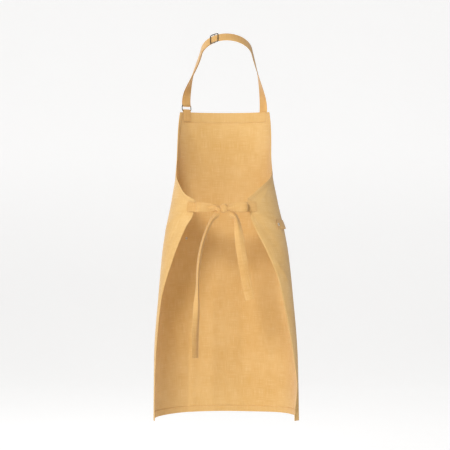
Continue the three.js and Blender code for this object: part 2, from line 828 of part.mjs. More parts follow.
const tailLeft = [
  [0, 0, 0, 0],
  [0.5, 7, 0, 2],
  [9, 22, 0.5, 15],
  [27, 55, 1, 35],
  [51, 95, 1.5, 50],
  [60, 140, 2, 58],
  [63, 220, 2.5, 62],
  [65, 300, 3, 50],
  [68, 360, 3, 45],
  [68, 420, 3, 48],
];
const tailRight = [
  [0, 0, 0, 0],
  [-0.5, 7, 0, -2],
  [-7, 20, 0.5, -5],
  [-25, 60, 1, -8],
  [-33, 107, 1.5, -5],
  [-40, 153, 2, 0],
  [-49, 205, 2.5, 4],
  [-61, 252, 3, 8],
];
add('tie_tail_left', tail(tailLeft, tailTop, 18), strapCloth);
add('tie_tail_right', tail(tailRight, tailTop - tailSpread, 20), strapCloth);

export default apron;
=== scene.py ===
# %% [markdown]
# # An artist's smock apron
#
# The apron is worn, and hangs from its neck strap: one sheet of mustard canvas with a bib, bound
# armholes and turned hems, that wraps round to the back and closes with a bow. We make every
# piece as its own surface, worked out with numpy, so that each one can be read as a formula.
#
# Lengths are written in millimetres, which is how a pattern cutter works, and become metres at the
# moment a mesh is made. A place on the cloth is given by its *turn*, in degrees round the body
# from the front centre (positive towards the wearer's left), and its *drop* below the back of
# the neck.

import math

import bpy
import numpy as np
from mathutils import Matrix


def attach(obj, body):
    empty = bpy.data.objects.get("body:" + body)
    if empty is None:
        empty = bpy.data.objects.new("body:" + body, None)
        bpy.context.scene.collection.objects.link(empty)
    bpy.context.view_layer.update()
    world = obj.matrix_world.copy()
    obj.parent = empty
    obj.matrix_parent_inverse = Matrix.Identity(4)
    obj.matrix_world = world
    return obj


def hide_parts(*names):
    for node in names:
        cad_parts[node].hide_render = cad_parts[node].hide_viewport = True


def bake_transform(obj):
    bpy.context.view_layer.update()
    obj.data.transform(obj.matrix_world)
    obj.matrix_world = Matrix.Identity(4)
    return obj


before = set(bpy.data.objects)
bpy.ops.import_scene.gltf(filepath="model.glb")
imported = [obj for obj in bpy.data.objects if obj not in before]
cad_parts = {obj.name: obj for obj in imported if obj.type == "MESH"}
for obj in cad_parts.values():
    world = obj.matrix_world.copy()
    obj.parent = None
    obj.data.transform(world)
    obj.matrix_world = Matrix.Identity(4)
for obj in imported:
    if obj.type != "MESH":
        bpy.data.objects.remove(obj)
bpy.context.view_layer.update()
MM = 0.001

# %% [markdown]
# ## Camera, floor and light
#
# The apron is seen square from behind, from four and a half metres away with a long lens, so
# that its sides hardly converge. A white sweep stands far below and behind it. The main light is
# a soft box above the lens and to its left, a weak one stands at the left side, and a third
# lights the front of the apron from above.

# %% camera
MIDDLE = (4.35 * MM, -545 * MM)  # x and z that the lens points at
DISTANCE, LENS, SENSOR, FARTHEST = 4.5, 124.1, 36, 60  # metres, then mm, mm and metres
camera = bpy.data.objects.new("camera", bpy.data.cameras.new("camera"))
camera.data.sensor_width, camera.data.lens, camera.data.clip_end = SENSOR, LENS, FARTHEST
camera.location = (MIDDLE[0], DISTANCE, MIDDLE[1])
camera.rotation_euler = (math.pi / 2, 0, math.pi)
bpy.context.scene.collection.objects.link(camera)
bpy.context.scene.camera = camera
bpy.context.scene.view_settings.view_transform = "Standard"
print("camera", tuple(round(v, 3) for v in camera.location))


# %% lights
def soft_box(name, place, aim, size, watts, colour=(1, 1, 1)):
    """A square area light at a place, turned so that it faces the aim point."""
    lamp = bpy.data.lights.new(name, "AREA")
    lamp.shape, lamp.size, lamp.energy, lamp.color = "SQUARE", size, watts, colour
    lamp_object = bpy.data.objects.new(name, lamp)
    away = np.array(place, float) - np.array(aim, float)
    turn = math.atan2(away[0], -away[1])
    lamp_object.location = place
    lamp_object.rotation_euler = (math.acos(away[2] / np.linalg.norm(away)), 0, turn)
    bpy.context.scene.collection.objects.link(lamp_object)


AIM = (0, -0.05, -0.6)
soft_box("key", (1.3, 3.85, 1.6), AIM, 1.2, 150, (0.985, 1, 1.04))
soft_box("side", (3.8, 1.2, 0.6), AIM, 1.6, 20)
soft_box("front", (0.8, -2.8, 2.6), AIM, 1.6, 75)
world = bpy.data.worlds.new("studio")
bpy.context.scene.world = world
world.use_nodes = True
for socket, value in (("Color", (1.03, 0.985, 0.92, 1)), ("Strength", 0.28)):
    world.node_tree.nodes["Background"].inputs[socket].default_value = value

# %% [markdown]
# ## Shader maths
#
# A material here is a graph of small sums. Wrapping a node's output in a class with overloaded
# operators lets us write the sum as it would be written on paper, and one method makes any
# other node.


# %% a socket that can be added and multiplied
class Sock:
    """A node's output; an expression on it adds Math nodes to the same tree."""

    def __init__(self, tree, out):
        self.tree, self.out = tree, out

    def maths(self, operation, *terms):
        node = self.tree.nodes.new("ShaderNodeMath")
        node.operation = operation
        for i, term in enumerate(terms):
            if isinstance(term, Sock):
                self.tree.links.new(term.out, node.inputs[i])
            else:
                node.inputs[i].default_value = term
        return Sock(self.tree, node.outputs[0])

    def __add__(self, other):
        return self.maths("ADD", self, other)

    def __radd__(self, other):
        return self.maths("ADD", other, self)

    def __sub__(self, other):
        return self.maths("SUBTRACT", self, other)

    def __rsub__(self, other):
        return self.maths("SUBTRACT", other, self)

    def __mul__(self, other):
        return self.maths("MULTIPLY", self, other)

    def __rmul__(self, other):
        return self.maths("MULTIPLY", other, self)

    def cosine(self):
        return self.maths("COSINE", self)

    def within(self, low, high):
        """0 below low, 1 above high and smooth between them."""
        node = self.tree.nodes.new("ShaderNodeMapRange")
        node.interpolation_type = "SMOOTHSTEP"
        self.tree.links.new(self.out, node.inputs["Value"])
        node.inputs["From Min"].default_value = low
        node.inputs["From Max"].default_value = high
        return Sock(self.tree, node.outputs["Result"])


class Finish:
    """A material with one Principled shader, and a method that makes any node for it."""

    def __init__(self, name, **constants):
        self.material = bpy.data.materials.new(name)
        self.material.use_nodes = True
        self.tree = self.material.node_tree
        self.shader = self.tree.nodes["Principled BSDF"]
        for socket, value in constants.items():
            self.shader.inputs[socket.replace("_", " ")].default_value = value

    def node(self, kind, settings=(), output=0, **inputs):
        made = self.tree.nodes.new("ShaderNode" + kind)
        for key, value in dict(settings).items():
            setattr(made, key, value)
        for key, value in inputs.items():
            number = key[1:]
            socket = made.inputs[int(number) if number.isdigit() else key.replace("_", " ")]
            if isinstance(value, Sock):
                self.tree.links.new(value.out, socket)
            else:
                socket.default_value = value
        return Sock(self.tree, made.outputs[output])

    def noise(self, place, scale, detail=2.0, **more):
        return self.node("TexNoise", Vector=place, Scale=scale, Detail=detail, **more)

    def mix(self, factor, first, second):
        """Colour first where the factor is 0 and second where it is 1."""
        return self.node("Mix", {"data_type": "RGBA"}, output=2, i0=factor, i6=first, i7=second)

    def feed(self, socket, value):
        self.tree.links.new(value.out, self.shader.inputs[socket])


print("shader helpers ready")

# %% [markdown]
# ## Canvas, tape, thread and metal
#
# The cloth is a plain-weave cotton canvas dyed mustard. Each thread passes over and under its
# neighbours, so the height is the product of two cosines, one along the warp and one along the
# weft, made uneven by noise that is stretched along the threads. Dye takes a little unevenly,
# which a slow noise puts into the colour. The colour also carries painted light: the slubs and
# the tops of the weave are mixed towards a lighter colour, a painted highlight, and the colour
# goes deeper where the rumple noise sinks the bump, a painted shade. The weave follows the
# piece's own UV map, which is in metres of cloth, and the slow changes of colour and painted
# shade read Object coordinates, so they run on from one piece to the next.

# %% cloth finish
THREAD_PITCH = 0.00075  # one warp thread and its gap


def cloth_finish(name, colour, deep, painted_highlight, pitch=THREAD_PITCH, rough=0.9):
    """Woven cotton: weave bump from UV; dye and painted shade from slow noise; slubs and painted
    highlight from stretched noise.
    """
    sheen = {"Sheen_Weight": 0.25, "Sheen_Roughness": 0.5}
    f = Finish(name, Roughness=rough, Specular_IOR_Level=0.2, **sheen)
    uv = f.node("UVMap", {"uv_map": "cloth"})
    split = f.tree.nodes.new("ShaderNodeSeparateXYZ")
    f.tree.links.new(uv.out, split.inputs[0])
    along, across = (Sock(f.tree, split.outputs[k]) for k in (0, 1))
    warp = (along * (math.pi / pitch)).cosine()
    weft = (across * (math.pi / pitch)).cosine()
    weave = warp * weft
    long_warp = f.node("Mapping", Vector=uv, Scale=(25, 900, 1))
    long_weft = f.node("Mapping", Vector=uv, Scale=(900, 25, 1))
    slub = f.noise(long_warp, 1.0) + f.noise(long_weft, 1.0) - 1.0
    place = f.node("TexCoord", output=3)
    dye = f.noise(place, 7.0, 3.0, Roughness=0.55)
    rumple = f.noise(place, 38.0, Roughness=0.5)
    # Painted shade: deeper where the bump's rumple noise is low; the dye noise is real uneven tone
    body = f.mix((dye * 0.7 + rumple * 0.3).within(0.32, 0.68), (*deep, 1), (*colour, 1))
    # Painted highlight: slubs and the tops of the weave are mixed towards a lighter colour
    shade = f.mix((slub * 0.9 + weave * 0.06).within(-0.12, 0.5), body, (*painted_highlight, 1))
    f.feed("Base Color", shade)
    height = weave * 0.5 + slub * 0.8 + rumple * 1.5
    bump = f.node("Bump", Strength=0.35, Distance=0.0004, Height=height)
    f.feed("Normal", bump)
    f.feed("Roughness", rough + slub * 0.12)
    return f.material


def hexed(code):
    """A colour like e3a45c as three linear values."""
    steps = np.array([int(code[i : i + 2], 16) / 255 for i in (0, 2, 4)])
    return tuple(np.where(steps <= 0.04045, steps / 12.92, ((steps + 0.055) / 1.055) ** 2.4))


CANVAS = cloth_finish("mustard canvas", hexed("dfb675"), hexed("d6a964"), hexed("e8c790"))
TAPE = cloth_finish("bound tape", hexed("dcb271"), hexed("d6ab68"), hexed("e3c088"), 0.0006)
STRAP = cloth_finish("strap cloth", hexed("dbae6c"), hexed("cd9c59"), hexed("e3bd84"), 0.0007)
print("cloth", CANVAS.name, TAPE.name, STRAP.name)


# %% thread and metal finishes
def thread_finish():
    """Spun polyester: paler than the canvas, with the ply showing as a fine bump."""
    f = Finish("sewing thread", Roughness=0.6)
    place = f.node("TexCoord", output=3)
    ply, lot = f.noise(place, 2200.0, 1.0), f.noise(place, 45.0, 1.0)
    f.feed("Base Color", f.mix(lot, (*hexed("dcb271"), 1), (*hexed("e6c48f"), 1)))
    f.feed("Normal", f.node("Bump", Strength=0.4, Distance=0.0002, Height=ply))
    return f.material


def metal_finish(name, colour, dark, rough, metallic=1.0):
    """Plated wire: fine rubbing marks, and darker where plating has worn."""
    f = Finish(name, Metallic=metallic, Roughness=rough)
    place = f.node("TexCoord", output=3)
    worn = f.noise(place, 320.0, 4.0, Roughness=0.6)
    rub = f.noise(place, 2600.0)
    f.feed("Base Color", f.mix(worn.within(0.38, 0.66), (*dark, 1), (*colour, 1)))
    f.feed("Roughness", rough + worn * 0.16 + rub * 0.06)
    f.feed("Normal", f.node("Bump", Strength=0.18, Distance=0.0001, Height=rub + worn))
    return f.material


THREAD = thread_finish()
STEEL = metal_finish("antique nickel", hexed("94897a"), hexed("5c5245"), 0.24)
RIVET = metal_finish("rivet metal", hexed("f3ead8"), hexed("b39f7e"), 0.4, 0.45)
print("thread and metal", THREAD.name, STEEL.name, RIVET.name)

# %% [markdown]
# ## The floor
#
# A plain sweep: a floor that curves up into a wall, far enough below the apron to catch only a
# breath of shadow. It isn't part of the object.


# %% sweep
def placed(name, points, faces, material):
    """A smooth-shaded object in the scene, from points in metres and lists of corners."""
    mesh = bpy.data.meshes.new(name)
    mesh.from_pydata(points.tolist(), [], faces)
    mesh.polygons.foreach_set("use_smooth", np.ones(len(faces), bool))
    mesh.materials.append(material)
    made = bpy.data.objects.new(name, mesh)
    bpy.context.scene.collection.objects.link(made)
    return made


def sweep():
    """Profile of floor, quarter circle and wall, carried along x."""
    floor, back, bend = -1.62, -5.6, 1.6
    angle = np.linspace(0, math.pi / 2, 24)
    y = np.concatenate([[9], back - bend * np.sin(angle), [back - bend]])
    z = np.concatenate([[floor], floor + bend * (1 - np.cos(angle)), [7]])
    x = np.linspace(-9, 9, 2)
    grid = np.stack(np.broadcast_arrays(x[:, None], y[None], z[None]), -1)
    rows, columns = grid.shape[:2]
    i, j = np.meshgrid(np.arange(rows - 1), np.arange(columns - 1), indexing="ij")
    corner = (i * columns + j).ravel()
    faces = np.stack([corner, corner + columns, corner + columns + 1, corner + 1], 1)
    glow = {"Emission_Color": (1, 1, 1, 1), "Emission_Strength": 0.575}
    f = Finish("white paper", Roughness=1.0, Specular_IOR_Level=0, **glow)
    place = f.node("TexCoord", output=3)
    grain = f.noise(place, 3.0)
    f.feed("Base Color", f.mix(grain, (0.55, 0.55, 0.55, 1), (0.57, 0.57, 0.57, 1)))
    made = placed("sweep", grid.reshape(-1, 3), faces.tolist(), f.material)
    return made


print("stage", sweep().name)

# %% [markdown]
# ## Making meshes
#
# Two builders do nearly all the work. A *sheet* has an outer and an inner layer on the same grid
# and a rim that closes them. A *sweep along a path* carries a closed section, such as a strap's,
# from station to station and closes both ends. Both give each face corner a place on the cloth
# in metres, so that the weave is the same size on every piece.


# %% mesh from arrays
def outward(points, faces):
    """True if the faces' signed volume is positive: the sum of a . (b x c) over triangles."""
    a, b, c, d = (points[faces[:, k]] for k in range(4))
    return (a * np.cross(b, c)).sum() + (a * np.cross(c, d)).sum() > 0


def new_piece(name, points, faces, uv, material, body, slot, caps=()):
    """Mesh from points in millimetres, four-cornered faces, and a (u, v) for each corner."""
    if not outward(points, faces):
        faces, uv = faces[:, ::-1], uv[:, ::-1]
        caps = [cap[::-1] for cap in caps]
    sides = [*faces.tolist(), *[list(cap) for cap in caps]]
    made = placed(name, points * MM, sides, material)
    flat = [uv.reshape(-1, 2)]
    for cap in caps:
        flat.append(points[np.array(cap)][:, [0, 2]] * MM)
    layer = made.data.uv_layers.new(name="cloth")
    layer.data.foreach_set("uv", np.concatenate(flat).astype(np.float32).ravel())
    if body:
        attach(made, body)
    return made


def unit(v):
    return v / np.linalg.norm(v, axis=-1, keepdims=True)


def run_length(points):
    """Distance travelled along a line of points."""
    return np.concatenate([[0], np.cumsum(np.linalg.norm(np.diff(points, axis=0), axis=1))])


print("mesh helpers ready")


# %% two-layer sheet
def two_layers(outer, inner):
    """Points, faces and corner places of a closed sheet between two grids (rows, columns, 3)."""
    rows, columns = outer.shape[:2]
    count = rows * columns
    points = np.concatenate([outer.reshape(-1, 3), inner.reshape(-1, 3)])
    along = np.cumsum(
        np.pad(np.linalg.norm(np.diff(outer, axis=1), axis=2), ((0, 0), (1, 0))), axis=1
    )
    along -= along[:, columns // 2][:, None]
    down = run_length(outer[:, columns // 2])[:, None] + np.zeros((1, columns))
    place = np.tile(np.stack([along, down], -1).reshape(-1, 2), (2, 1)) * MM
    i, j = np.meshgrid(np.arange(rows - 1), np.arange(columns - 1), indexing="ij")
    a = (i * columns + j).ravel()
    front = np.stack([a, a + 1, a + columns + 1, a + columns], 1)
    ring = np.concatenate(
        [
            np.arange(columns - 1),
            np.arange(rows - 1) * columns + columns - 1,
            (rows - 1) * columns + np.arange(columns - 1, 0, -1),
            np.arange(rows - 1, 0, -1) * columns,
        ]
    )
    after = np.roll(ring, -1)
    rim = np.stack([after, ring, ring + count, after + count], 1)
    faces = np.concatenate([front, front[:, ::-1] + count, rim])
    return points, faces, place[faces]


print("sheet builder ready")


# %% section carried along stations
def carried(points_of_rings, along, around):
    """Points, faces, corner places and end caps of rings (stations, corners, 3) joined up."""
    along, around = np.asarray(along, float), np.asarray(around, float)
    stations, corners = points_of_rings.shape[:2]
    i, j = np.meshgrid(np.arange(stations - 1), np.arange(corners), indexing="ij")
    i, j = i.ravel(), j.ravel()
    cell = [(i, j), (i, j + 1), (i + 1, j + 1), (i + 1, j)]
    faces = np.stack([r * corners + c % corners for r, c in cell], 1)
    uv = np.stack([np.stack([along[r], around[c]], -1) for r, c in cell], 1) * MM
    first = list(range(corners))
    last = list(range((stations - 1) * corners, stations * corners))
    return points_of_rings.reshape(-1, 3), faces, uv, [first, last[::-1]]


def strap_section(width, thick, seams=True, count=30):
    """Closed outline of a doubled strap: a flat oval, pulled in a little along its seam lines."""
    x = -np.cos(np.linspace(0, math.pi, count)) * width / 2
    share = np.abs(2 * x / width)
    h = thick / 2 * np.sqrt(np.clip(1 - share**7, 0, 1))
    if seams:
        h -= 0.28 * np.exp(-(((np.abs(x) - width / 2 + SEAM_IN) / 0.8) ** 2))
    h = np.maximum(h, 0)
    return np.concatenate([x, x[-2:0:-1]]), np.concatenate([h, -h[-2:0:-1]])


def strap_frames(centres, faces):
    """Tangent, face and side of each station, square to each other."""
    tangent = unit(np.gradient(centres, axis=0))
    face = unit(faces - (faces * tangent).sum(1, keepdims=True) * tangent)
    return tangent, face, np.cross(tangent, face)


def strap_rings(centres, faces, width, thick, seams=True, ridge=0.0):
    """Rings of a strap: the section's x goes along the side and its height along the face.

    Where ridge is over 0 the strap is folded lengthwise by that angle: each half falls away from
    the face, x becomes x cos(ridge), and a soft bend of 2 mm joins the halves. Under 0 the
    halves rise towards the face instead.
    """
    _, face, side = strap_frames(centres, faces)
    width = np.broadcast_to(width, len(centres))[:, None]
    ridge = np.broadcast_to(ridge, len(centres))[:, None]
    x, h = strap_section(STRAP_WIDTH, thick, seams)
    x = x[None] * width / STRAP_WIDTH
    half = np.tanh(x / 2)
    across = x * np.cos(ridge) + h * np.sin(ridge) * half
    height = h * np.cos(ridge * np.abs(half)) - (np.sqrt(x**2 + 4) - 2) * np.sin(ridge)
    height += 0.35 * width * np.sin(ridge)
    rings = side[:, None] * across[..., None] + face[:, None] * height[..., None]
    around = np.append(run_length(np.stack([x[0], h], 1)), 2 * STRAP_WIDTH + 2 * thick)
    return centres[:, None] + rings, run_length(centres), around


print("strap builder ready")

# %% [markdown]
# ## Stitches
#
# A seam is a row of short raised threads, each one sunk at both ends. They are real geometry, a
# spindle of twenty small faces, because a row of stitches is what the eye looks for on canvas.
# One mesh holds all the stitches of a seam.

# %% stitch spindles
PITCH, STITCH, THICK = 3.1, 2.35, 0.5  # length of a step, of a thread, and its width


def spindle():
    """A spindle along x: two poles and two rings of five points."""
    angle = np.arange(5) * 2 * math.pi / 5
    ring = np.stack([np.cos(angle), np.sin(angle)], 1) * 0.5
    low = np.concatenate([np.full((5, 1), -0.28), ring], 1)
    high = np.concatenate([np.full((5, 1), 0.28), ring], 1)
    points = np.concatenate([[[-0.5, 0, -0.3]], low, high, [[0.5, 0, -0.3]]])
    k = np.arange(5)
    n = (k + 1) % 5
    start = np.stack([np.zeros(5, int), 1 + n, 1 + k], 1)
    middle = np.concatenate(
        [np.stack([1 + k, 1 + n, 6 + n], 1), np.stack([1 + k, 6 + n, 6 + k], 1)]
    )
    end = np.stack([np.full(5, 11), 6 + k, 6 + n], 1)
    return points, np.concatenate([start, middle, end])


SPINDLE, SPINDLE_FACES = spindle()


def sampled(line, spots, at):
    """Points of a line at given distances along it."""
    return np.stack([np.interp(spots, at, column) for column in line.T], 1)


def stitch_row(line, normals, pitch=PITCH, length=STITCH):
    """Centre, direction, normal and length of each stitch, a pitch apart along a line."""
    at = run_length(line)
    spots = np.arange(pitch / 2, at[-1], pitch)
    heading = unit(sampled(line, spots + 0.4, at) - sampled(line, spots - 0.4, at))
    normal = unit(sampled(normals, spots, at))
    return sampled(line, spots, at), heading, normal, np.full(len(spots), length)


def sewn(name, rows, body, width=THICK):
    """All the stitches of some rows as one mesh: centre + x along, y across and z up."""
    centre, along, normal, length = (np.concatenate(part) for part in zip(*rows))
    across = unit(np.cross(normal, along))
    up = np.cross(along, across)
    points = (
        centre[:, None]
        + along[:, None] * SPINDLE[None, :, :1] * length[:, None, None]
        + across[:, None] * SPINDLE[None, :, 1:2] * width
        + up[:, None] * SPINDLE[None, :, 2:] * width * 0.8
    )
    start = np.arange(len(centre))[:, None, None] * len(SPINDLE)
    faces = (SPINDLE_FACES[None] + start).reshape(-1, 3)
    made = placed(name, points.reshape(-1, 3) * MM, faces.tolist(), THREAD)
    if body:
        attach(made, body)
    return made


print("one stitch:", len(SPINDLE_FACES), "faces")

# %% [markdown]
# ## The worn surface
#
# The canvas lies on a body that we describe by its level sections. Each is a rounded oval whose
# half width, front and back depth and squareness change smoothly with the drop. A curve through
# measured values that never overshoots keeps the sides fair.

# %% dimensions
BIB_TOP, ARMHOLE_DIP, TIE_LINE, HIP_LINE, HEM_LINE = 205, 396, 474, 632, 1117
BIB_TURN, TIE_TURN_LEFT, TIE_TURN_RIGHT, HEM_TURN = 55, 148, 154.5, 99
CLOTH = 0.9  # thickness of the canvas
LAYER = 0.7  # thickness of a turned hem
NEAR = 0.05  # gap between layers sewn together
SIT = 0.08  # how far a stitch's middle stands off the cloth
SEAM_IN = 3  # from a strap's edge to its stitches
STRAP_WIDTH, STRAP_THICK, TIE_THICK = 28, 2.0, 1.7
print("bib to hem", HEM_LINE - BIB_TOP, "mm")


# %% fair curves
def mix(a, b, t):
    return a + (b - a) * t


def smooth(t):
    """0 to 1 with level ends."""
    t = np.clip(t, 0, 1)
    return t * t * (3 - 2 * t)


def profile(points):
    """Monotone cubic through (x, y) pairs: slopes are harmonic means of the steps beside them."""
    x, y = np.array(points, float).T
    step = np.diff(x)
    secant = np.diff(y) / step
    same = secant[:-1] * secant[1:] > 0
    total = np.where(same, secant[:-1] + secant[1:], 1)
    inner = np.where(same, 2 * secant[:-1] * secant[1:] / total, 0)
    slope = np.concatenate([[secant[0]], inner, [secant[-1]]])

    def at(q):
        q = np.clip(q, x[0], x[-1])
        i = np.clip(np.searchsorted(x, q, side="right") - 1, 0, len(step) - 1)
        t = (q - x[i]) / step[i]
        return (
            (2 * t**3 - 3 * t**2 + 1) * y[i]
            + (t**3 - 2 * t**2 + t) * step[i] * slope[i]
            + (3 * t**2 - 2 * t**3) * y[i + 1]
            + (t**3 - t**2) * step[i] * slope[i + 1]
        )

    return at


def skirt(share):
    return mix(TIE_LINE, HEM_LINE, share)


UPPER_HIP, LOW_SKIRT = mix(HIP_LINE, HEM_LINE, 0.35), mix(HIP_LINE, HEM_LINE, 0.64)
half_width = profile(
    [
        (BIB_TOP, 160),
        (ARMHOLE_DIP - 34, 141),
        (TIE_LINE, 157),
        (mix(TIE_LINE, HIP_LINE, 0.5), mix(157, 187, 0.56)),
        (HIP_LINE, 187),
        (mix(HIP_LINE, HEM_LINE, 0.26), mix(187, 213.5, 0.44)),
        (LOW_SKIRT, mix(187, 213.5, 0.94)),
        (HEM_LINE, 213.5),
    ]
)
centre_x = profile([(BIB_TOP, 5), (ARMHOLE_DIP, 7), (HIP_LINE, 3.5), (HEM_LINE, 0)])
front_y = profile(
    [
        (BIB_TOP, -222),
        (ARMHOLE_DIP, -mix(222, 205, 0.6)),
        (TIE_LINE, -205),
        (HIP_LINE, -mix(205, 277, 0.24)),
        (UPPER_HIP, -mix(205, 277, 0.51)),
        (HEM_LINE, -277),
    ]
)
widest_y = profile(
    [(BIB_TOP, -100), (TIE_LINE, -100), (HIP_LINE, -95), (UPPER_HIP, -80), (HEM_LINE, -50)]
)
back_depth = profile(
    [(BIB_TOP, 105), (TIE_LINE, 105), (HIP_LINE, 112), (UPPER_HIP, 108), (HEM_LINE, 100)]
)
square_left = profile([(TIE_LINE, 2.1), (HEM_LINE, 2.4)])
square_right = profile([(TIE_LINE, 2.1), (HEM_LINE, 3.2)])
print("waist", 2 * half_width(TIE_LINE), "hem", 2 * half_width(HEM_LINE), "mm wide")

# %% side edges of the panel
edge_left = profile(
    [
        (BIB_TOP, BIB_TURN),
        (mix(BIB_TOP, ARMHOLE_DIP, 0.5), BIB_TURN + 17),
        (ARMHOLE_DIP - 34, BIB_TURN + 30),
        (ARMHOLE_DIP + 4, BIB_TURN + 46),
        (mix(ARMHOLE_DIP, TIE_LINE, 0.37), TIE_TURN_LEFT - 30.5),
        (mix(ARMHOLE_DIP, TIE_LINE, 0.76), TIE_TURN_LEFT - 15),
        (TIE_LINE + 3, TIE_TURN_LEFT),
        (skirt(0.06), TIE_TURN_LEFT - 1),
        (skirt(0.12), TIE_TURN_LEFT - 8),
        (skirt(0.29), HEM_TURN + 26.5),
        (skirt(0.49), HEM_TURN + 11),
        (skirt(0.66), HEM_TURN + 8.5),
        (skirt(0.88), HEM_TURN + 2),
        (HEM_LINE, HEM_TURN),
    ]
)
edge_right = profile(
    [
        (BIB_TOP, BIB_TURN),
        (mix(BIB_TOP, ARMHOLE_DIP, 0.5), BIB_TURN + 17),
        (ARMHOLE_DIP - 34, BIB_TURN + 29),
        (ARMHOLE_DIP, BIB_TURN + 47),
        (mix(ARMHOLE_DIP, TIE_LINE, 0.18), TIE_TURN_RIGHT - 39.5),
        (mix(ARMHOLE_DIP, TIE_LINE, 0.46), TIE_TURN_RIGHT - 21.5),
        (mix(ARMHOLE_DIP, TIE_LINE, 0.79), TIE_TURN_RIGHT - 6),
        (TIE_LINE - 4, TIE_TURN_RIGHT),
        (skirt(0.06), TIE_TURN_RIGHT - 0.5),
        (skirt(0.22), TIE_TURN_RIGHT - 12),
        (skirt(0.36), TIE_TURN_RIGHT - 22.5),
        (skirt(0.5), HEM_TURN + 28),
        (skirt(0.65), HEM_TURN + 24.5),
        (skirt(0.77), HEM_TURN + 19.5),
        (skirt(0.88), HEM_TURN + 12),
        (HEM_LINE, HEM_TURN),
    ]
)
print("back edges at the waist", edge_left(TIE_LINE + 3), edge_right(TIE_LINE + 3), "degrees")

# %% [markdown]
# ### Folds in the hang
#
# Canvas this stiff hangs nearly smooth. What breaks it are a few pulls towards the tie corners, a
# soft upright crease where it was folded in its packet, and a slow ripple that grows towards
# the hem. Each is a height added along the normal, the same for every piece that is sewn to
# the panel, so that hems, pocket and ties all stay on it.


# %% folds
def crease(turn, drop, start, end, width, height):
    """A ridge along a line on the cloth: a Gaussian across it that fades out past both ends."""
    scale = 2.7  # millimetres to a degree of turn, near enough
    ax, ay, bx, by = start[0] * scale, start[1], end[0] * scale, end[1]
    length = math.hypot(bx - ax, by - ay)
    ux, uy = (bx - ax) / length, (by - ay) / length
    dx, dy = turn * scale - ax, drop - ay
    on = dx * ux + dy * uy
    off = dx * uy - dy * ux
    past = np.maximum(np.maximum(-on, on - length), 0)
    return height * np.exp(-((off / width) ** 2)) * np.exp(-((past / (0.3 * length)) ** 2))


PULLS = [
    ((141, 500), (104, 548), 11, 1.6),
    ((143, 512), (118, 590), 12, -1.3),
    ((139, 492), (112, 498), 9, 1.1),
    ((-147, 502), (-116, 560), 12, 1.6),
    ((-150, 516), (-132, 600), 11, -1.3),
    ((-131, 511), (-120, 519), 7, 1.4),
    ((-137, 470), (-127, 447), 6, 1.3),
    ((-133, 652), (-120, 694), 8, 1.8),
    ((51, 820), (43, 900), 8, 1.5),
    ((46, 800), (39, 868), 7, -1.1),
    ((31, 900), (31.5, 1090), 6, 1.5),
    ((28, 900), (28.5, 1090), 9, -1.0),
    ((-38, 470), (-20, 560), 16, 1.2),
    ((36, 462), (20, 560), 16, 1.2),
    ((-62, 600), (-55, 760), 20, 1.4),
    ((70, 640), (66, 840), 20, 1.5),
    ((-48, 230), (-30, 330), 14, 1.1),
    ((48, 230), (30, 330), 14, 1.1),
]


def fold(turn, drop):
    """Height of the cloth over the fair surface: pulls, hem ripple and the corner that curls in."""
    turn, drop = np.broadcast_arrays(np.asarray(turn, float), np.asarray(drop, float))
    total = np.zeros(turn.shape)
    for start, end, width, height in PULLS:
        total += crease(turn, drop, start, end, width, height)
    angle = np.radians(turn)
    low = smooth((drop - 760) / (HEM_LINE - 760))
    total += low * (1.5 * np.sin(5.2 * angle + 0.6) + 0.9 * np.sin(9.1 * angle + 2.1))
    total += 0.5 * np.sin(drop / 61 + 2.2 * angle) * np.sin(3.1 * angle + drop / 140)
    curl = smooth((-turn - 90) / 9) * smooth((drop - 985) / 125)
    return total - 11 * curl


all_over = np.meshgrid(np.arange(-150, 150), np.arange(BIB_TOP, HEM_LINE))
print("highest fold", round(float(fold(*all_over).max()), 2), "mm")


# %% places on the cloth
def section_point(turn, drop):
    """Rounded oval: reach is (|cos|^n + |sin|^n)^(-1/n) along each axis' half size."""
    turn, drop = np.broadcast_arrays(np.asarray(turn, float), np.asarray(drop, float))
    s, c = np.sin(np.radians(turn)), np.cos(np.radians(turn))
    n = np.where(turn > 0, square_left(drop), square_right(drop))
    reach = (np.abs(c) ** n + np.abs(s) ** n) ** (-1 / n)
    depth = np.where(c > 0, widest_y(drop) - front_y(drop), back_depth(drop))
    x = centre_x(drop) + half_width(drop) * reach * s
    return np.stack([x, widest_y(drop) - depth * reach * c, -drop], -1)


def directions(turn, drop):
    """Side (growing turn), up and outward unit vectors of the fair surface."""
    side = unit(section_point(turn + 0.5, drop) - section_point(turn - 0.5, drop))
    above = section_point(turn, np.maximum(drop - 1, BIB_TOP))
    up = unit(above - section_point(turn, np.minimum(drop + 1, HEM_LINE)))
    out = unit(np.cross(side, up))
    return side, np.cross(out, side), out


def cloth_point(turn, drop, lift=0.0):
    """The fair surface moved along its normal by the folds and by a layer's lift."""
    turn, drop = np.asarray(turn, float), np.asarray(drop, float)
    out = directions(turn, drop)[2]
    return section_point(turn, drop) + out * (fold(turn, drop) + lift)[..., None]


def panel_turn(share, drop):
    """Share of the half panel, -1 at the right edge and 1 at the left, as a turn."""
    return np.where(share > 0, share * edge_left(drop), share * edge_right(drop))


print("front of the hem at", cloth_point(0.0, HEM_LINE).round(1))

# %% [markdown]
# ## The canvas panel
#
# It is one closed sheet: two layers of the same grid of shares and drops, a canvas thickness
# apart, joined by a rim. The grid is fine enough for the folds and for a smooth armhole.

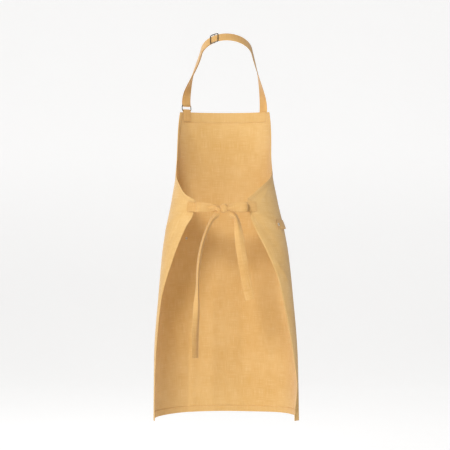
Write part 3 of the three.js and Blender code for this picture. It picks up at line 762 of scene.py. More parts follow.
# %% panel
COLUMNS, ROWS = 200, 225
share = np.linspace(-1, 1, COLUMNS + 1)[None]
drops = np.linspace(BIB_TOP, HEM_LINE, ROWS + 1)[:, None]
turns = panel_turn(share, drops)
panel = new_piece(
    "canvas_panel",
    *two_layers(
        cloth_point(turns, drops, CLOTH / 2 + 0 * turns),
        cloth_point(turns, drops, -CLOTH / 2 + 0 * turns),
    ),
    CANVAS,
    "apron",
    "canvas",
)
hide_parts("apron_panel")
middle = cloth_point(turns, drops, 0 * turns)
across = np.linalg.norm(np.diff(middle, axis=1), axis=2).sum(1)
cell = np.linalg.norm(
    np.cross(middle[1:, :-1] - middle[:-1, :-1], middle[:-1, 1:] - middle[:-1, :-1]), axis=2
)
print("panel", len(panel.data.polygons), "faces, widest", round(across.max()), "mm")
print("panel area", round(cell.sum() * MM**2, 3), "square metres")

# %% [markdown]
# ## Hems, facing and binding
#
# Every raw edge is dealt with as a sewer would: the bottom and back edges and the bib's top are
# turned in and sewn flat, and the curved armholes, which can't be turned neatly, are bound with
# tape that wraps the edge. All of them are one section carried along the edge. To keep the
# section's width true on the curved cloth, a distance from the edge is turned into changes of
# turn and drop with the surface's own slopes.


# %% edges
class Edge:
    """Stations along an edge of the panel, and points at a distance in from it."""

    def __init__(self, turn, drop, inside):
        self.turn, self.drop = np.broadcast_arrays(turn, drop)
        base = cloth_point(self.turn, self.drop)
        self.base, self.along = base, unit(np.gradient(base, axis=0))
        self.out = directions(self.turn, self.drop)[2]
        per_turn = section_point(self.turn + 0.5, self.drop) - section_point(
            self.turn - 0.5, self.drop
        )
        lower = np.minimum(self.drop + 1, HEM_LINE)
        upper = np.maximum(self.drop - 1, BIB_TOP)
        per_drop = section_point(self.turn, lower) - section_point(self.turn, upper)
        per_drop /= (lower - upper)[:, None]
        inward = unit(np.cross(self.out, self.along))
        hint = per_turn * inside[0] + per_drop * inside[1]
        self.inward = inward * np.sign((inward * hint).sum(1, keepdims=True))
        a, b, c = (
            (per_turn * per_turn).sum(1),
            (per_turn * per_drop).sum(1),
            (per_drop * per_drop).sum(1),
        )
        p, q = (per_turn * self.inward).sum(1), (per_drop * self.inward).sum(1)
        det = a * c - b * b
        self.turn_step, self.drop_step = (c * p - b * q) / det, (a * q - b * p) / det

    def at(self, distance, lift):
        """Points a distance in from the edge (negative is past it) and a lift off the cloth."""
        distance, lift = np.broadcast_arrays(np.atleast_2d(distance), np.atleast_2d(lift))
        reach = np.maximum(distance, 0)
        turn = self.turn[:, None] + self.turn_step[:, None] * reach
        drop = self.drop[:, None] + self.drop_step[:, None] * reach
        drop = np.clip(drop, BIB_TOP, HEM_LINE)
        past = np.minimum(distance, 0)[..., None]
        spot = cloth_point(turn, drop, lift + 0 * turn)
        return spot + self.inward[:, None] * past

    def row(self, distance, lift):
        """A line for stitches, with its normals turned to the side it lies on."""
        line = self.at(np.full((len(self.turn), 1), float(distance)), lift)[:, 0]
        return line, self.out * np.sign(lift)


def turned_section(depth, extra=0.0):
    """Outline of a turned hem: round the fold from the outer face, then along the inner layer."""
    extra = np.atleast_1d(extra)[:, None]
    top, near = CLOTH / 2, -CLOTH / 2 - NEAR
    far = near - LAYER - extra
    angle = np.linspace(0, math.pi, 9)[None]
    radius, middle = (top - far) / 2, (top + far) / 2
    arc = (-radius * np.sin(angle), middle + radius * np.cos(angle))
    flat = np.linspace(1.5, depth, 7)[None] + 0 * extra
    tip = (depth + 0.35 + 0 * extra, (near + far - extra) / 2)
    back = flat[:, ::-1]
    ends = (0.05 + 0 * extra, near - extra), (0.05 + 0 * extra, top - 0.1 + 0 * extra)
    distance = np.concatenate([arc[0], flat, tip[0], back, ends[0][0], ends[1][0]], 1)
    lift = np.concatenate(
        [arc[1], far + 0 * flat, tip[1], near - extra + 0 * back, ends[0][1], ends[1][1]], 1
    )
    return distance, lift


def bound_section(depth, tape=0.7):
    """Outline of a binding: outer layer, round the edge, inner layer, and back inside both."""
    inner = CLOTH / 2 + NEAR
    outer = inner + tape
    angle = np.linspace(0, math.pi, 9)
    back = angle[::-1]
    flat = np.linspace(depth, 1.5, 5)
    level = np.ones(5)
    tip, halfway = [depth + 0.3], (outer + inner) / 2
    outside = [flat, -outer * np.sin(angle), flat[::-1], tip]
    inside = [flat, -inner * np.sin(back) * 0.6, flat[::-1], tip]
    outside_lift = [level * outer, outer * np.cos(angle), -level * outer, [-halfway]]
    inside_lift = [-level * inner, inner * np.cos(back), level * inner, [halfway]]
    return np.concatenate(outside + inside), np.concatenate(outside_lift + inside_lift)


def edging(name, edge, section, node):
    """A section of (distance, lift) carried along an edge."""
    distance, lift = (np.atleast_2d(part)[0] for part in section)
    around = run_length(np.stack([distance, lift], 1))
    around = np.append(around, around[-1] + 1)
    points, faces, uv, caps = carried(edge.at(*section), run_length(edge.base), around)
    made = new_piece(name, points, faces, uv, TAPE, "apron", "tape", caps=caps)
    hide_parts(node)
    return made


print("edging helpers ready")

# %% make the edges
HEM_DEPTH, BACK_DEPTH, FACING_DEPTH, TAPE_DEPTH = 18, 15, 30, 9
CORNER_DROP = {1: TIE_LINE + 3, -1: TIE_LINE - 4}  # where armhole and back edge meet
FACING_SHARE = 1 - 9.5 / 120  # the facing stops short of the armhole tape
HEM_FACES = (CLOTH / 2 + SIT, -CLOTH / 2 - NEAR - LAYER - SIT)
seams, edge_pieces = [], []
for side, name, line in ((1, "left", edge_left), (-1, "right", edge_right)):
    corner = CORNER_DROP[side]
    drop = np.linspace(BIB_TOP + 0.2, corner, 90)
    armhole = Edge(side * line(drop), drop, (-side, 0))
    section = bound_section(TAPE_DEPTH)
    node = f"armhole_binding_{name}"
    edge_pieces.append(edging(f"armhole_tape_{name}", armhole, section, node))
    drop = np.linspace(corner + 1, HEM_LINE, 170)
    back = Edge(side * line(drop), drop, (-side, 0))
    over = (LAYER + NEAR) * smooth((drop - (HEM_LINE - HEM_DEPTH - 6)) / 5)
    section = turned_section(BACK_DEPTH, over)
    edge_pieces.append(edging(f"back_hem_fold_{name}", back, section, f"back_hem_{name}"))
    outer = CLOTH / 2 + NEAR + 0.75
    for level in (outer, -outer):
        seams.append(stitch_row(*armhole.row(TAPE_DEPTH - 1.8, level)))
    for level in HEM_FACES:
        seams.append(stitch_row(*back.row(BACK_DEPTH - 2.5, level)))
share = np.linspace(-1, 1, 260)
bottom = Edge(panel_turn(share, HEM_LINE), HEM_LINE + 0 * share, (0, -1))
edge_pieces.append(edging("hem_fold", bottom, turned_section(HEM_DEPTH), "bottom_hem"))
top = Edge(panel_turn(share * FACING_SHARE, BIB_TOP), BIB_TOP + 0 * share, (0, 1))
edge_pieces.append(edging("bib_top_facing", top, turned_section(FACING_DEPTH), "bib_facing"))
for level in HEM_FACES:
    seams.append(stitch_row(*bottom.row(HEM_DEPTH - 2.5, level)))
    seams.append(stitch_row(*top.row(FACING_DEPTH - 3, level)))
    seams.append(stitch_row(*top.row(4.0, level)))
edge_stitches = sewn("edge_stitches", seams, "apron")
print("edges", [o.name for o in edge_pieces], "stitch faces", len(edge_stitches.data.polygons))

# %% [markdown]
# ## The pocket
#
# A kangaroo pocket on the front: a rectangle with a turned top, sewn down at its sides, foot and
# middle, so that it makes two compartments that stand a finger open. The stand is a half sine
# across each compartment and falls to nothing at the foot.

# %% pocket surface
POCKET_SHARE, POCKET_TOP, POCKET_FOOT, POCKET_STAND = 0.31833, 575, 795, 12
POCKET_WIDE = 220  # across the worn pocket, which spaces its grid


def pocket_lift(u, drop):
    """Half sine between the flat seams of each compartment, times the root of height."""
    along = ((u * 2) % 1 - 1 / 6) * 1.5
    v = np.clip((drop - POCKET_TOP) / (POCKET_FOOT - POCKET_TOP), 0, 1)
    open_share = np.sin(math.pi * np.clip(along, 0, 1)) ** 1.3
    return POCKET_STAND * open_share * (1 - v) ** 0.6 + 0.35 * np.sin(u * 37 + drop / 9) * v


def pocket_point(u, drop, lift):
    """A point of the pocket: across by share u from 0 to 1, down by drop, off by lift."""
    u, drop = np.broadcast_arrays(u, drop)
    turn = panel_turn(mix(-POCKET_SHARE, POCKET_SHARE, u), drop)
    return cloth_point(turn, drop, CLOTH / 2 + NEAR + pocket_lift(u, drop) + lift)


def rounded(distance, thick):
    """Height of a folded edge at a distance in from it: a quarter circle, then flat."""
    t = np.clip(distance / thick, 0, 1)
    return thick * np.sqrt(np.clip(1 - (1 - t) ** 2, 0, 1))


near_edge = np.array([0, 0.15, 0.5, 1.0])
at_side, inside = near_edge / POCKET_WIDE, 2 / POCKET_WIDE
u = np.concatenate([at_side, np.linspace(inside, 1 - inside, 120), 1 - at_side[::-1]])
v = np.concatenate([np.linspace(POCKET_TOP, POCKET_FOOT - 2, 76), POCKET_FOOT - near_edge[::-1]])
u, v = u[None], v[:, None]
to_edge = np.minimum(np.minimum(u, 1 - u) * POCKET_WIDE, POCKET_FOOT - v)
thick = 0.12 + rounded(to_edge, 1.1)
pocket = new_piece(
    "pocket_sheet",
    *two_layers(pocket_point(u, v, thick), pocket_point(u, v, 0 * thick)),
    CANVAS,
    "apron",
    "canvas",
)
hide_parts("front_pocket")
print("pocket", len(pocket.data.polygons), "faces")

# %% pocket hem and stitching
u = np.linspace(0.002, 0.998, 150)
angle = np.linspace(0, math.pi, 9)
radius, face, turn_in = 1.05, 1.22, 20
flat, back = np.linspace(1.5, turn_in, 6), np.linspace(turn_in, 0.1, 6)
distance = np.concatenate([-radius * np.sin(angle), flat, [turn_in + 0.3], back])
arc = face - radius + radius * np.cos(angle)
lift = np.concatenate([arc, np.full(6, face - 2 * radius), [-0.5], np.full(6, -0.1)])
ring = pocket_point(u[:, None], POCKET_TOP + np.maximum(distance, 0)[None], lift[None])
ring[..., 2] -= np.minimum(distance, 0)[None]
along = run_length(ring[:, 0])
around = run_length(np.stack([distance, lift], 1))
points, faces, uv, caps = carried(ring, along, np.append(around, around[-1] + 1))
pocket_hem = new_piece("pocket_hem_fold", points, faces, uv, CANVAS, "apron", "canvas", caps=caps)
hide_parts("front_pocket")


def pocket_line(u, drop, lift=1.3):
    """A line for stitches on the pocket's face."""
    u, drop = np.broadcast_arrays(u, drop)
    turn = panel_turn(mix(-POCKET_SHARE, POCKET_SHARE, u), drop)
    return pocket_point(u, drop, lift), directions(turn, drop)[2]


down = np.linspace(POCKET_TOP + 2, POCKET_FOOT - 4, 60)
wide = np.linspace(0.012, 0.988, 120)
rows = [stitch_row(*pocket_line(spot, down)) for spot in (0.016, 0.045, 0.49, 0.51, 0.955, 0.984)]
rows += [stitch_row(*pocket_line(wide, spot)) for spot in (POCKET_FOOT - 4, POCKET_FOOT - 10)]
rows += [stitch_row(*pocket_line(wide, POCKET_TOP + spot)) for spot in (16.0, 19.0)]
tack = np.linspace(0.5 - 0.018, 0.5 + 0.018, 12)
for shift in np.linspace(0, 9, 12):
    line, normals = pocket_line(tack, POCKET_TOP + 2 + shift, 1.45)
    rows.append(stitch_row(line, normals, pitch=7.9, length=7.4))
pocket_stitches = sewn("pocket_stitches", rows, "apron")
print("pocket stitches", len(pocket_stitches.data.polygons) // 20)

# %% [markdown]
# ## Rivets
#
# Plated rivets take the strain at the pocket's corners and the towel loop's ends. A rivet is
# turned: a profile of radius and height carried round its axis, a domed cap outside and a
# dished washer inside.


# %% lathe
def turned(name, radii, heights, spot, node, around=40):
    """A profile from pole to pole carried round the axis of a spot (centre, side, up, out)."""
    centre, side, up, out = spot
    radii, heights = np.array(radii, float), np.array(heights, float)
    angle = np.arange(around) * 2 * math.pi / around
    rings = (
        centre
        + radii[1:-1, None, None]
        * (np.cos(angle)[None, :, None] * side + np.sin(angle)[None, :, None] * up)
        + heights[1:-1, None, None] * out
    )
    along = run_length(np.stack([radii, heights], 1))[1:-1]
    points, faces, uv, _ = carried(rings, along, np.append(angle, 2 * math.pi) * 4)
    total = len(points)
    poles = np.stack([centre + heights[0] * out, centre + heights[-1] * out])
    k = np.arange(around)
    n = (k + 1) % around
    last = total - around
    caps = np.stack([np.full(around, total), n, k], 1).tolist()
    caps += np.stack([np.full(around, total + 1), last + k, last + n], 1).tolist()
    points = np.concatenate([points, poles])
    made = new_piece(name, points, faces, uv, RIVET, "apron", "rivet_metal", caps=caps)
    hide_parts(node)
    return made


def spot_on(turn, drop, lift):
    """Centre and axes of a rivet at a place on the cloth."""
    turn, drop = np.array(float(turn)), np.array(float(drop))
    side, up, out = directions(turn, drop)
    return cloth_point(turn, drop, np.array(float(lift))), side, up, out


CAP = (
    [0, 0.7, 1.4, 2.2, 3.0, 3.7, 4.3, 4.65, 4.75, 4.6, 3.5, 0],
    [1.75, 1.72, 1.62, 1.5, 1.62, 1.5, 1.15, 0.7, 0.3, 0.0, -0.15, -0.2],
)
WASHER = (
    [0, 0.8, 1.3, 1.6, 2.4, 3.4, 3.9, 4.0, 3.7, 0],
    [-0.5, -0.52, -0.6, -0.95, -1.0, -0.85, -0.55, -0.25, 0.05, 0.1],
)


def riveted(piece, node, end, turn, drop, face):
    """One rivet: a cap on the cloth's face, and on the same axis a washer behind."""
    cap_spot, washer_spot = spot_on(turn, drop, face), spot_on(turn, drop, -CLOTH / 2)
    turned(f"{piece}_cap_{end}", *CAP, cap_spot, f"{node}_cap_{end}")
    turned(f"{piece}_washer_{end}", *WASHER, washer_spot, f"{node}_back_{end}")


# The pocket's front is drawn in 36 steps with a 4.5% seam at each side; its rivets sit at step 12.5
SEAM_SHARE = 0.045
RIVET_SHARE = 1 - SEAM_SHARE - ((1 - SEAM_SHARE) * 2 * 12.5) / 36
RIVET_DROP = POCKET_TOP + 10
for side, name in ((1, "left"), (-1, "right")):
    turn = float(panel_turn(np.array(side * RIVET_SHARE), np.array(float(RIVET_DROP))))
    riveted("rivet", "pocket_rivet", name, turn, RIVET_DROP, 1.45 + CLOTH / 2 + NEAR)
print("pocket rivets at", round(turn, 1), "degrees")

# %% [markdown]
# ## Straps
#
# Neck strap, ties, towel loop and tab are all the same thing: canvas folded in four and
# stitched down both edges. Each is the strap section carried along its own line.


# %% strap maker
STRAPS = {}  # name: strap, its stitches and its length


def strap(name, centres, faces, node, body, **shape):
    """A strap and its edge stitches, as two pieces."""
    width, thick = shape.get("width", STRAP_WIDTH), shape.get("thick", STRAP_THICK)
    rings, along, around = strap_rings(centres, faces, width, thick, ridge=shape.get("ridge", 0.0))
    points, mesh_faces, uv, caps = carried(rings, along, around)
    made = new_piece(name, points, mesh_faces, uv, STRAP, body, "strap_cloth", caps=caps)
    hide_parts(node)
    corners = rings.shape[1]
    section = strap_section(STRAP_WIDTH, thick)[0][: corners // 2]
    seam = int(np.argmin(np.abs(section + STRAP_WIDTH / 2 - SEAM_IN)))
    rows = []
    for way in shape.get("stitched", (1, -1)):
        for edge in (seam, corners // 2 - seam):
            k = edge if way > 0 else -edge
            line = rings[:, k]
            ahead = np.gradient(rings[:, k - 1], axis=0)
            normal = unit(np.cross(ahead, rings[:, k + 1] - rings[:, k - 1]))
            normal *= np.sign((normal * (line - rings[:, -k])).sum(1, keepdims=True))
            rows.append(stitch_row(line + 0.06 * normal, normal))
    threads = sewn(f"{name}_stitches", rows, body)
    STRAPS[name] = [made, threads, along[-1]]


def cut(*names):
    """How long some straps are."""
    return " and ".join(str(round(STRAPS[name][2])) for name in names) + " mm"


def resampled(points, count):
    """The same line with evenly spaced points."""
    at = run_length(points)
    return sampled(points, np.linspace(0, at[-1], count), at)


def blended(name, body, start, end):
    """Both pieces of a strap have their place baked into their points."""
    start, end = tuple(np.array(start) * MM), tuple(np.array(end) * MM)
    for piece in STRAPS[name][:2]:
        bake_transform(piece)


print("strap maker ready")

# %% neck circle and bib corners
NECK_RADIUS, NECK_TILT, ARC_END, STRAP_TURN, STRAP_SEWN = 75, 38, 80, 45, 35
AHEAD = np.array([1.0, 0, 0])
RISE = np.array([0, math.cos(math.radians(NECK_TILT)), math.sin(math.radians(NECK_TILT))])
NECK_AXIS = np.cross(AHEAD, RISE)
NECK_CENTRE = -NECK_RADIUS * RISE


def neck_out(angle):
    """Outward direction on the neck circle."""
    angle = np.radians(np.asarray(angle, float))[..., None]
    return AHEAD * np.sin(angle) + RISE * np.cos(angle)


def neck_point(angle, across=0.0, lift=0.0):
    """Circle point: centre + (radius + lift) outwards + across along the axis."""
    across, lift = (np.asarray(q, float)[..., None] for q in (across, lift))
    return NECK_CENTRE + neck_out(angle) * (NECK_RADIUS + lift) + NECK_AXIS * across


class Corner:
    """A bib corner's own axes: along its top edge, up, and out of the cloth."""

    def __init__(self, turn):
        turn = np.array(float(turn))
        drop = np.array(float(BIB_TOP))
        self.side, self.up, self.out = directions(turn, drop)
        self.place = section_point(turn, drop)

    def at(self, up, out, side=0.0):
        up, out, side = (np.asarray(q, float)[..., None] for q in (up, out, side))
        return self.place + self.up * up + self.out * out + self.side * side


left_corner, right_corner = Corner(STRAP_TURN), Corner(-STRAP_TURN)
WIRE, RING_RISE, RING_INNER, GAP = 1.4, 6, 12, 0.3
UPPER_BAR = RING_RISE + RING_INNER + 2 * WIRE
TURN_RADIUS = WIRE + GAP + STRAP_THICK / 2
print("bib corner at", left_corner.place.round(1))


# %% neck strap lines
def chest_run(corner, start, side):
    """Bezier from a bib corner to the neck circle; its face turns as it goes."""
    end = neck_point(side * ARC_END, 0, STRAP_THICK / 2)
    leave = neck_out(side * (ARC_END + 90))
    t = np.linspace(0, 1, 60)[:, None]
    a, b, c, d = start, start + corner.up * 60, end + leave * 60, end
    line = (1 - t) ** 3 * a + 3 * (1 - t) ** 2 * t * b + 3 * (1 - t) * t**2 * c + t**3 * d
    return line, mix(corner.out, neck_out(side * ARC_END), smooth(t))


left_start = left_corner.at(UPPER_BAR + 4, TURN_RADIUS)
right_start = right_corner.at(2, 0.8 + GAP + STRAP_THICK / 2)
left_line, left_face = chest_run(left_corner, left_start, 1)
right_line, right_face = chest_run(right_corner, right_start, -1)
angle = np.linspace(-math.pi, 0, 26)
turn_line = left_corner.at(UPPER_BAR + TURN_RADIUS * np.sin(angle), TURN_RADIUS * np.cos(angle))
turn_face = left_corner.out * np.cos(angle)[:, None] + left_corner.up * np.sin(angle)[:, None]
sewn_drop = BIB_TOP + np.linspace(1, STRAP_SEWN, 14)
seat = CLOTH / 2 + NEAR + STRAP_THICK / 2
sewn_line = cloth_point(-STRAP_TURN + 0 * sewn_drop, sewn_drop, seat + 0 * sewn_drop)
sewn_face = directions(-STRAP_TURN + 0 * sewn_drop, sewn_drop)[2]
runs = [round(run_length(line)[-1]) for line in (left_line, right_line)]
print("left and right runs", runs, "mm")

# %% [markdown]
# The strap is one length, but it is made in pieces where it meets something that moves. The left
# end passes round the ring, and the doubled length inside ends at the slider.

# %% neck strap pieces
neck_angle = np.linspace(ARC_END, -ARC_END, 150)
neck_arc = neck_point(neck_angle, 0, STRAP_THICK / 2)
neck_line = np.concatenate([neck_arc, right_line[-2::-1], sewn_line])
neck_face = np.concatenate([neck_out(neck_angle), right_face[-2::-1], sewn_face])
strap("neck_band", neck_line, neck_face, "neck_strap", "apron")
bar_top = left_corner.at(UPPER_BAR + 1.5, TURN_RADIUS)
chest_line = np.concatenate([turn_line[:-1], [bar_top], left_line])
chest_face = np.concatenate([turn_face[:-1], [left_corner.out], left_face])
strap("chest_band", chest_line, chest_face, "neck_strap", None)
chest_bend = {"start": left_line[-6], "end": left_corner.at(UPPER_BAR + 8, 0)}
blended("chest_band", "ring", **chest_bend)
print("neck and chest bands", cut("neck_band", "chest_band"))

# %% doubled length inside
UNDER = STRAP_THICK + GAP
_, face, _ = strap_frames(left_line, left_face)
apart = mix(2 * TURN_RADIUS, UNDER, smooth(np.arange(60) / 30))[:, None]
inner_line = left_line - face * apart
behind_ring = left_corner.at(UPPER_BAR + np.array([0.4, 2.2]), np.full(2, -TURN_RADIUS))
inner_line = np.concatenate([behind_ring, inner_line])
inner_face = np.concatenate([np.stack([left_corner.out] * 2), left_face])
INNER = {"width": 27, "stitched": (-1,)}  # a little narrower, and stitched where it shows
strap("inner_chest_band", inner_line, inner_face, "neck_strap_return", None, **INNER)
blended("inner_chest_band", "ring", **chest_bend)
SLIDER_TURN = 27.5
inner_angle = np.linspace(ARC_END, SLIDER_TURN + 1.0, 60)
inner_arc = neck_point(inner_angle, 0, STRAP_THICK / 2 - UNDER)
inner_out = neck_out(inner_angle)
strap("inner_neck_band", inner_arc, inner_out, "neck_strap_return", None, **INNER)
neck_bend = {"start": neck_point(ARC_END - 3), "end": neck_point(SLIDER_TURN + 8)}
blended("inner_neck_band", "slider", **neck_bend)
print("inner bands", cut("inner_chest_band", "inner_neck_band"))

# %% [markdown]
# ## Slider and ring
#
# Both are bent from round wire and welded shut: the slider has a third bar across its middle,
# which the strap's end is sewn round. Wire is a circle carried along a rounded rectangle.


# %% wire
def wire(name, line, radius, body, node, closed=True, around=16):
    """A round wire along a line: rings of a circle square to the line."""
    ahead = np.roll(line, -1, 0) - np.roll(line, 1, 0) if closed else np.gradient(line, axis=0)
    tangent = unit(ahead)
    middle = line.mean(0)
    normal = unit(np.linalg.svd(line - middle)[2][2])[None] + 0 * line
    first = unit(np.cross(tangent, normal))
    second = np.cross(tangent, first)
    angle = np.arange(around) * 2 * math.pi / around
    radius = np.broadcast_to(radius, len(line))[:, None, None]
    cosine, sine = np.cos(angle)[None, :, None], np.sin(angle)[None, :, None]
    rings = line[:, None] + radius * (first[:, None] * cosine + second[:, None] * sine)
    if closed:
        rings = np.concatenate([rings, rings[:1]])
    points, faces, uv, caps = carried(rings, np.arange(len(rings)), np.arange(around + 1))
    if closed:
        stop = (len(rings) - 1) * around
        faces = np.where(faces >= stop, faces - stop, faces)
        points, caps = points[:stop], []
    made = new_piece(name, points, faces, uv, STEEL, body, "steel", caps=caps)
    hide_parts(node)
    return made


def rounded_rectangle(half_x, half_y, corner, count=24):
    """Corner arcs joined by straight sides, as (x, y)."""
    parts = []
    for k, (sx, sy) in enumerate(((1, 1), (-1, 1), (-1, -1), (1, -1))):
        angle = np.linspace(k * math.pi / 2, (k + 1) * math.pi / 2, count // 2)
        x = sx * (half_x - corner) + corner * np.cos(angle)
        y = sy * (half_y - corner) + corner * np.sin(angle)
        parts.append(np.stack([x, y], 1))
    loop = np.concatenate(parts)
    return resampled(np.concatenate([loop, loop[:1]]), 120)[:-1]


RAIL_HALF = STRAP_WIDTH / 2 + GAP + 0.4 + WIRE
WIRE_LIFT = STRAP_THICK + GAP + WIRE
flat = rounded_rectangle(27.5 / 2 - WIRE, RAIL_HALF, 2.2)
degrees_per = 180 / math.pi / (NECK_RADIUS + WIRE_LIFT)
slider_line = neck_point(SLIDER_TURN + flat[:, 0] * degrees_per, flat[:, 1], WIRE_LIFT)
slider = wire("slider_wire", slider_line, WIRE, "slider", "slider_frame")
reach = np.linspace(-1, 1, 41)
dip = WIRE_LIFT - (WIRE_LIFT + GAP + WIRE) * smooth((1 - np.abs(reach)) * 7)
bar_line = neck_point(SLIDER_TURN + 0 * reach, reach * RAIL_HALF, dip)
slider_bar = wire("slider_middle_bar", bar_line, 1.15, "slider", "slider_bar", closed=False)
flat = rounded_rectangle(RAIL_HALF, RING_INNER / 2 + WIRE, 2.6)
ring_middle = RING_RISE + WIRE + RING_INNER / 2
ring_line = left_corner.at(flat[:, 1] + ring_middle, 0, flat[:, 0])
ring = wire("ring_wire", ring_line, WIRE, "ring", "strap_ring")
print("wire pieces", slider.name, slider_bar.name, ring.name)

# %% [markdown]
# ## Ring tab and towel loop
#
# The tab is a strap folded over the ring's lower bar and sewn through the bib's corner. The towel
# loop is a strap whose two ends are riveted to the hip; it stands a little off the cloth.

# %% ring tab
TAB_DEPTH, TAB_THICK, TAB_CUT = 28, 1.8, 80  # cut longer than it is worn
BOX_STITCH = {"pitch": 2.6, "length": 2.1}
leg_out = CLOTH / 2 + GAP + TAB_THICK / 2
leg_in = CLOTH / 2 + NEAR + LAYER + 0.5 + TAB_THICK / 2
bend = WIRE + GAP + TAB_THICK / 2
lower, arc = np.linspace(-TAB_DEPTH, -2, 14), np.linspace(0, math.pi, 20)
up = np.concatenate([lower, RING_RISE + bend * np.sin(arc), lower[::-1]])
out = np.concatenate([np.full(14, leg_out), bend * np.cos(arc), np.full(14, -leg_in)])
tab_line = left_corner.at(up, out)
slope = np.gradient(np.stack([up, out], 1), axis=0)
slope /= np.linalg.norm(slope, axis=1, keepdims=True)
tab_face = left_corner.out * slope[:, :1] - left_corner.up * slope[:, 1:]
tab_shape = {"width": 26, "thick": TAB_THICK, "stitched": (1,)}
strap("ring_tab_strap", tab_line, tab_face, "ring_tab", "apron", **tab_shape)
side = np.linspace(-11.5, 11.5, 14)
diagonal, slant = np.linspace(-4, -25, 14), np.linspace(-11, 11, 14)
tab_out = np.stack([left_corner.out] * 14)
rows = []
for height, way in ((-4.0, 1), (-25.0, -1)):
    for heights, sides in ((height, side), (diagonal, slant * way)):
        line = left_corner.at(heights + 0 * side, leg_out + 0.95, sides)
        rows.append(stitch_row(line, tab_out, **BOX_STITCH))
tab_box = sewn("ring_tab_box_stitches", rows, "apron")
box_drop = BIB_TOP + np.array([4.0, 31.0])
box_turn = np.linspace(-STRAP_TURN - 3.2, -STRAP_TURN + 3.2, 14)
box_lines = [(box_turn, drop + 0 * box_turn) for drop in box_drop]
box_lines += [(box_turn[::way], np.linspace(*box_drop, 14)) for way in (1, -1)]
rows = []
for turn, drop in box_lines:
    line = cloth_point(turn, drop, seat + 1.0 + 0 * drop)
    rows.append(stitch_row(line, directions(turn, drop)[2], **BOX_STITCH))
sewn_box = sewn("strap_end_stitches", rows, "apron")
print("tab", cut("ring_tab_strap"))
STRAPS["ring_tab_strap"][2] = TAB_CUT

# %% towel loop
LOOP_FROM, LOOP_TO, LOOP_DROP = 75, 122, 544
LOOP_STAND, LOOP_LEAN = 2.4, 0.15  # off the cloth at its middle, and more at its lower edge
u = np.linspace(0, 1, 110)
turn = -mix(LOOP_FROM, LOOP_TO, u)
stand = np.sin(math.pi * np.clip((u - 0.16) / 0.68, 0, 1)) ** 0.8 * LOOP_STAND
drop = LOOP_DROP + 0 * u
loop_line = cloth_point(turn, drop, CLOTH / 2 + 0.1 + TIE_THICK / 2 + stand)
leaning = directions(turn, drop)[2] + np.outer(LOOP_LEAN * stand / LOOP_STAND, (0, 0, 1))
strap("towel_loop_strap", loop_line, leaning, "towel_loop", "apron", thick=TIE_THICK)
for turn, name in ((-LOOP_FROM - 3.5, "front"), (-LOOP_TO + 3.5, "rear")):
    face = CLOTH / 2 + 0.1 + TIE_THICK
    riveted("loop_rivet", "towel_loop_rivet", name, turn, LOOP_DROP, face)
print("towel loop", cut("towel_loop_strap"))

# %% [markdown]
# ## Ties and bow
#
# Each tie is sewn over its corner and follows the waist to the knot, narrowing as the knot
# gathers it. The bow is the same strap: two loops folded back on themselves, a wrap over the
# middle, and two tails that hang as they fell.

# %% ties
KNOT_X, KNOT_DROP, KNOT_W, KNOT_D = 13.5, 496, 35, 18
STRIP_OUT, TIE_LAYER = 1.4, 1.6  # clearance under a tie, and the room it takes
TIE_FACE = float(section_point(180.0, KNOT_DROP)[1]) + STRIP_OUT + TIE_LAYER
KNOT_Y = TIE_FACE + GAP + KNOT_D / 2


def waist_tie(start, end, side):
    """A strap along the waist, whose width closes to 18 mm as it enters the knot."""
    u = np.linspace(0, 1, 90)
    turn = mix(start, end, u)
    drop = mix(KNOT_DROP - 4, KNOT_DROP, u)
    lift = CLOTH / 2 + 0.15 + TIE_THICK / 2 + mix(0, 1.6, smooth(u * 3)) + 0.5 * np.sin(u * 9) * u
    lift = lift + fold(turn, drop) * (1 - smooth(u * 2.2))
    out = directions(turn, drop)[2]
    line = section_point(turn, drop) + out * lift[:, None]
    width = mix(STRAP_WIDTH, 18, smooth((u - 0.55) / 0.45))
    shape = {"width": width, "thick": TIE_THICK}
    strap(f"tie_{side}_strap", line, out, f"waist_tie_{side}", "apron", **shape)


waist_tie(TIE_TURN_LEFT - 9, 175, "left")
waist_tie(-TIE_TURN_RIGHT + 9, -176, "right")
print("ties", cut("tie_left_strap", "tie_right_strap"))


# %% bow loops
def bow_loop(name, side, length, lift_end, folds):
    """A strap out from the knot, round a soft fold and back: a teardrop seen from above."""
    t = np.linspace(0, 1, 130)
    bulge = np.sin(math.pi * t)
    x = length * np.sin(math.pi * t) ** 0.8
    y = 6.2 * np.sin(2 * math.pi * t) * (0.45 + 0.55 * bulge) + 1.7 * np.cos(math.pi * t)
    rise_by = lift_end * smooth(x / length) + 0.8 * np.sin(3 * math.pi * t)
    centres = np.stack([KNOT_X + side * (KNOT_W / 2 - 3 + x), KNOT_Y + y, -KNOT_DROP + rise_by], 1)
    away = unit(np.stack([-side * np.gradient(y), np.gradient(x), 0 * t], 1))
    width = mix(19, 29, smooth(x / 22))
    ridge = np.radians(mix(*folds, smooth(x / 40)))
    shape = {"width": width, "thick": 1.5, "ridge": ridge}
    strap(f"bow_{name}_strap", centres, away, f"bow_loop_{name}", "apron", **shape)


bow_loop("left", 1, 61, 2.5, (-40, -15))
bow_loop("right", -1, 60, 3.5, (44, 8))
print("bow loops use", cut("bow_left_strap", "bow_right_strap"), "of strap")


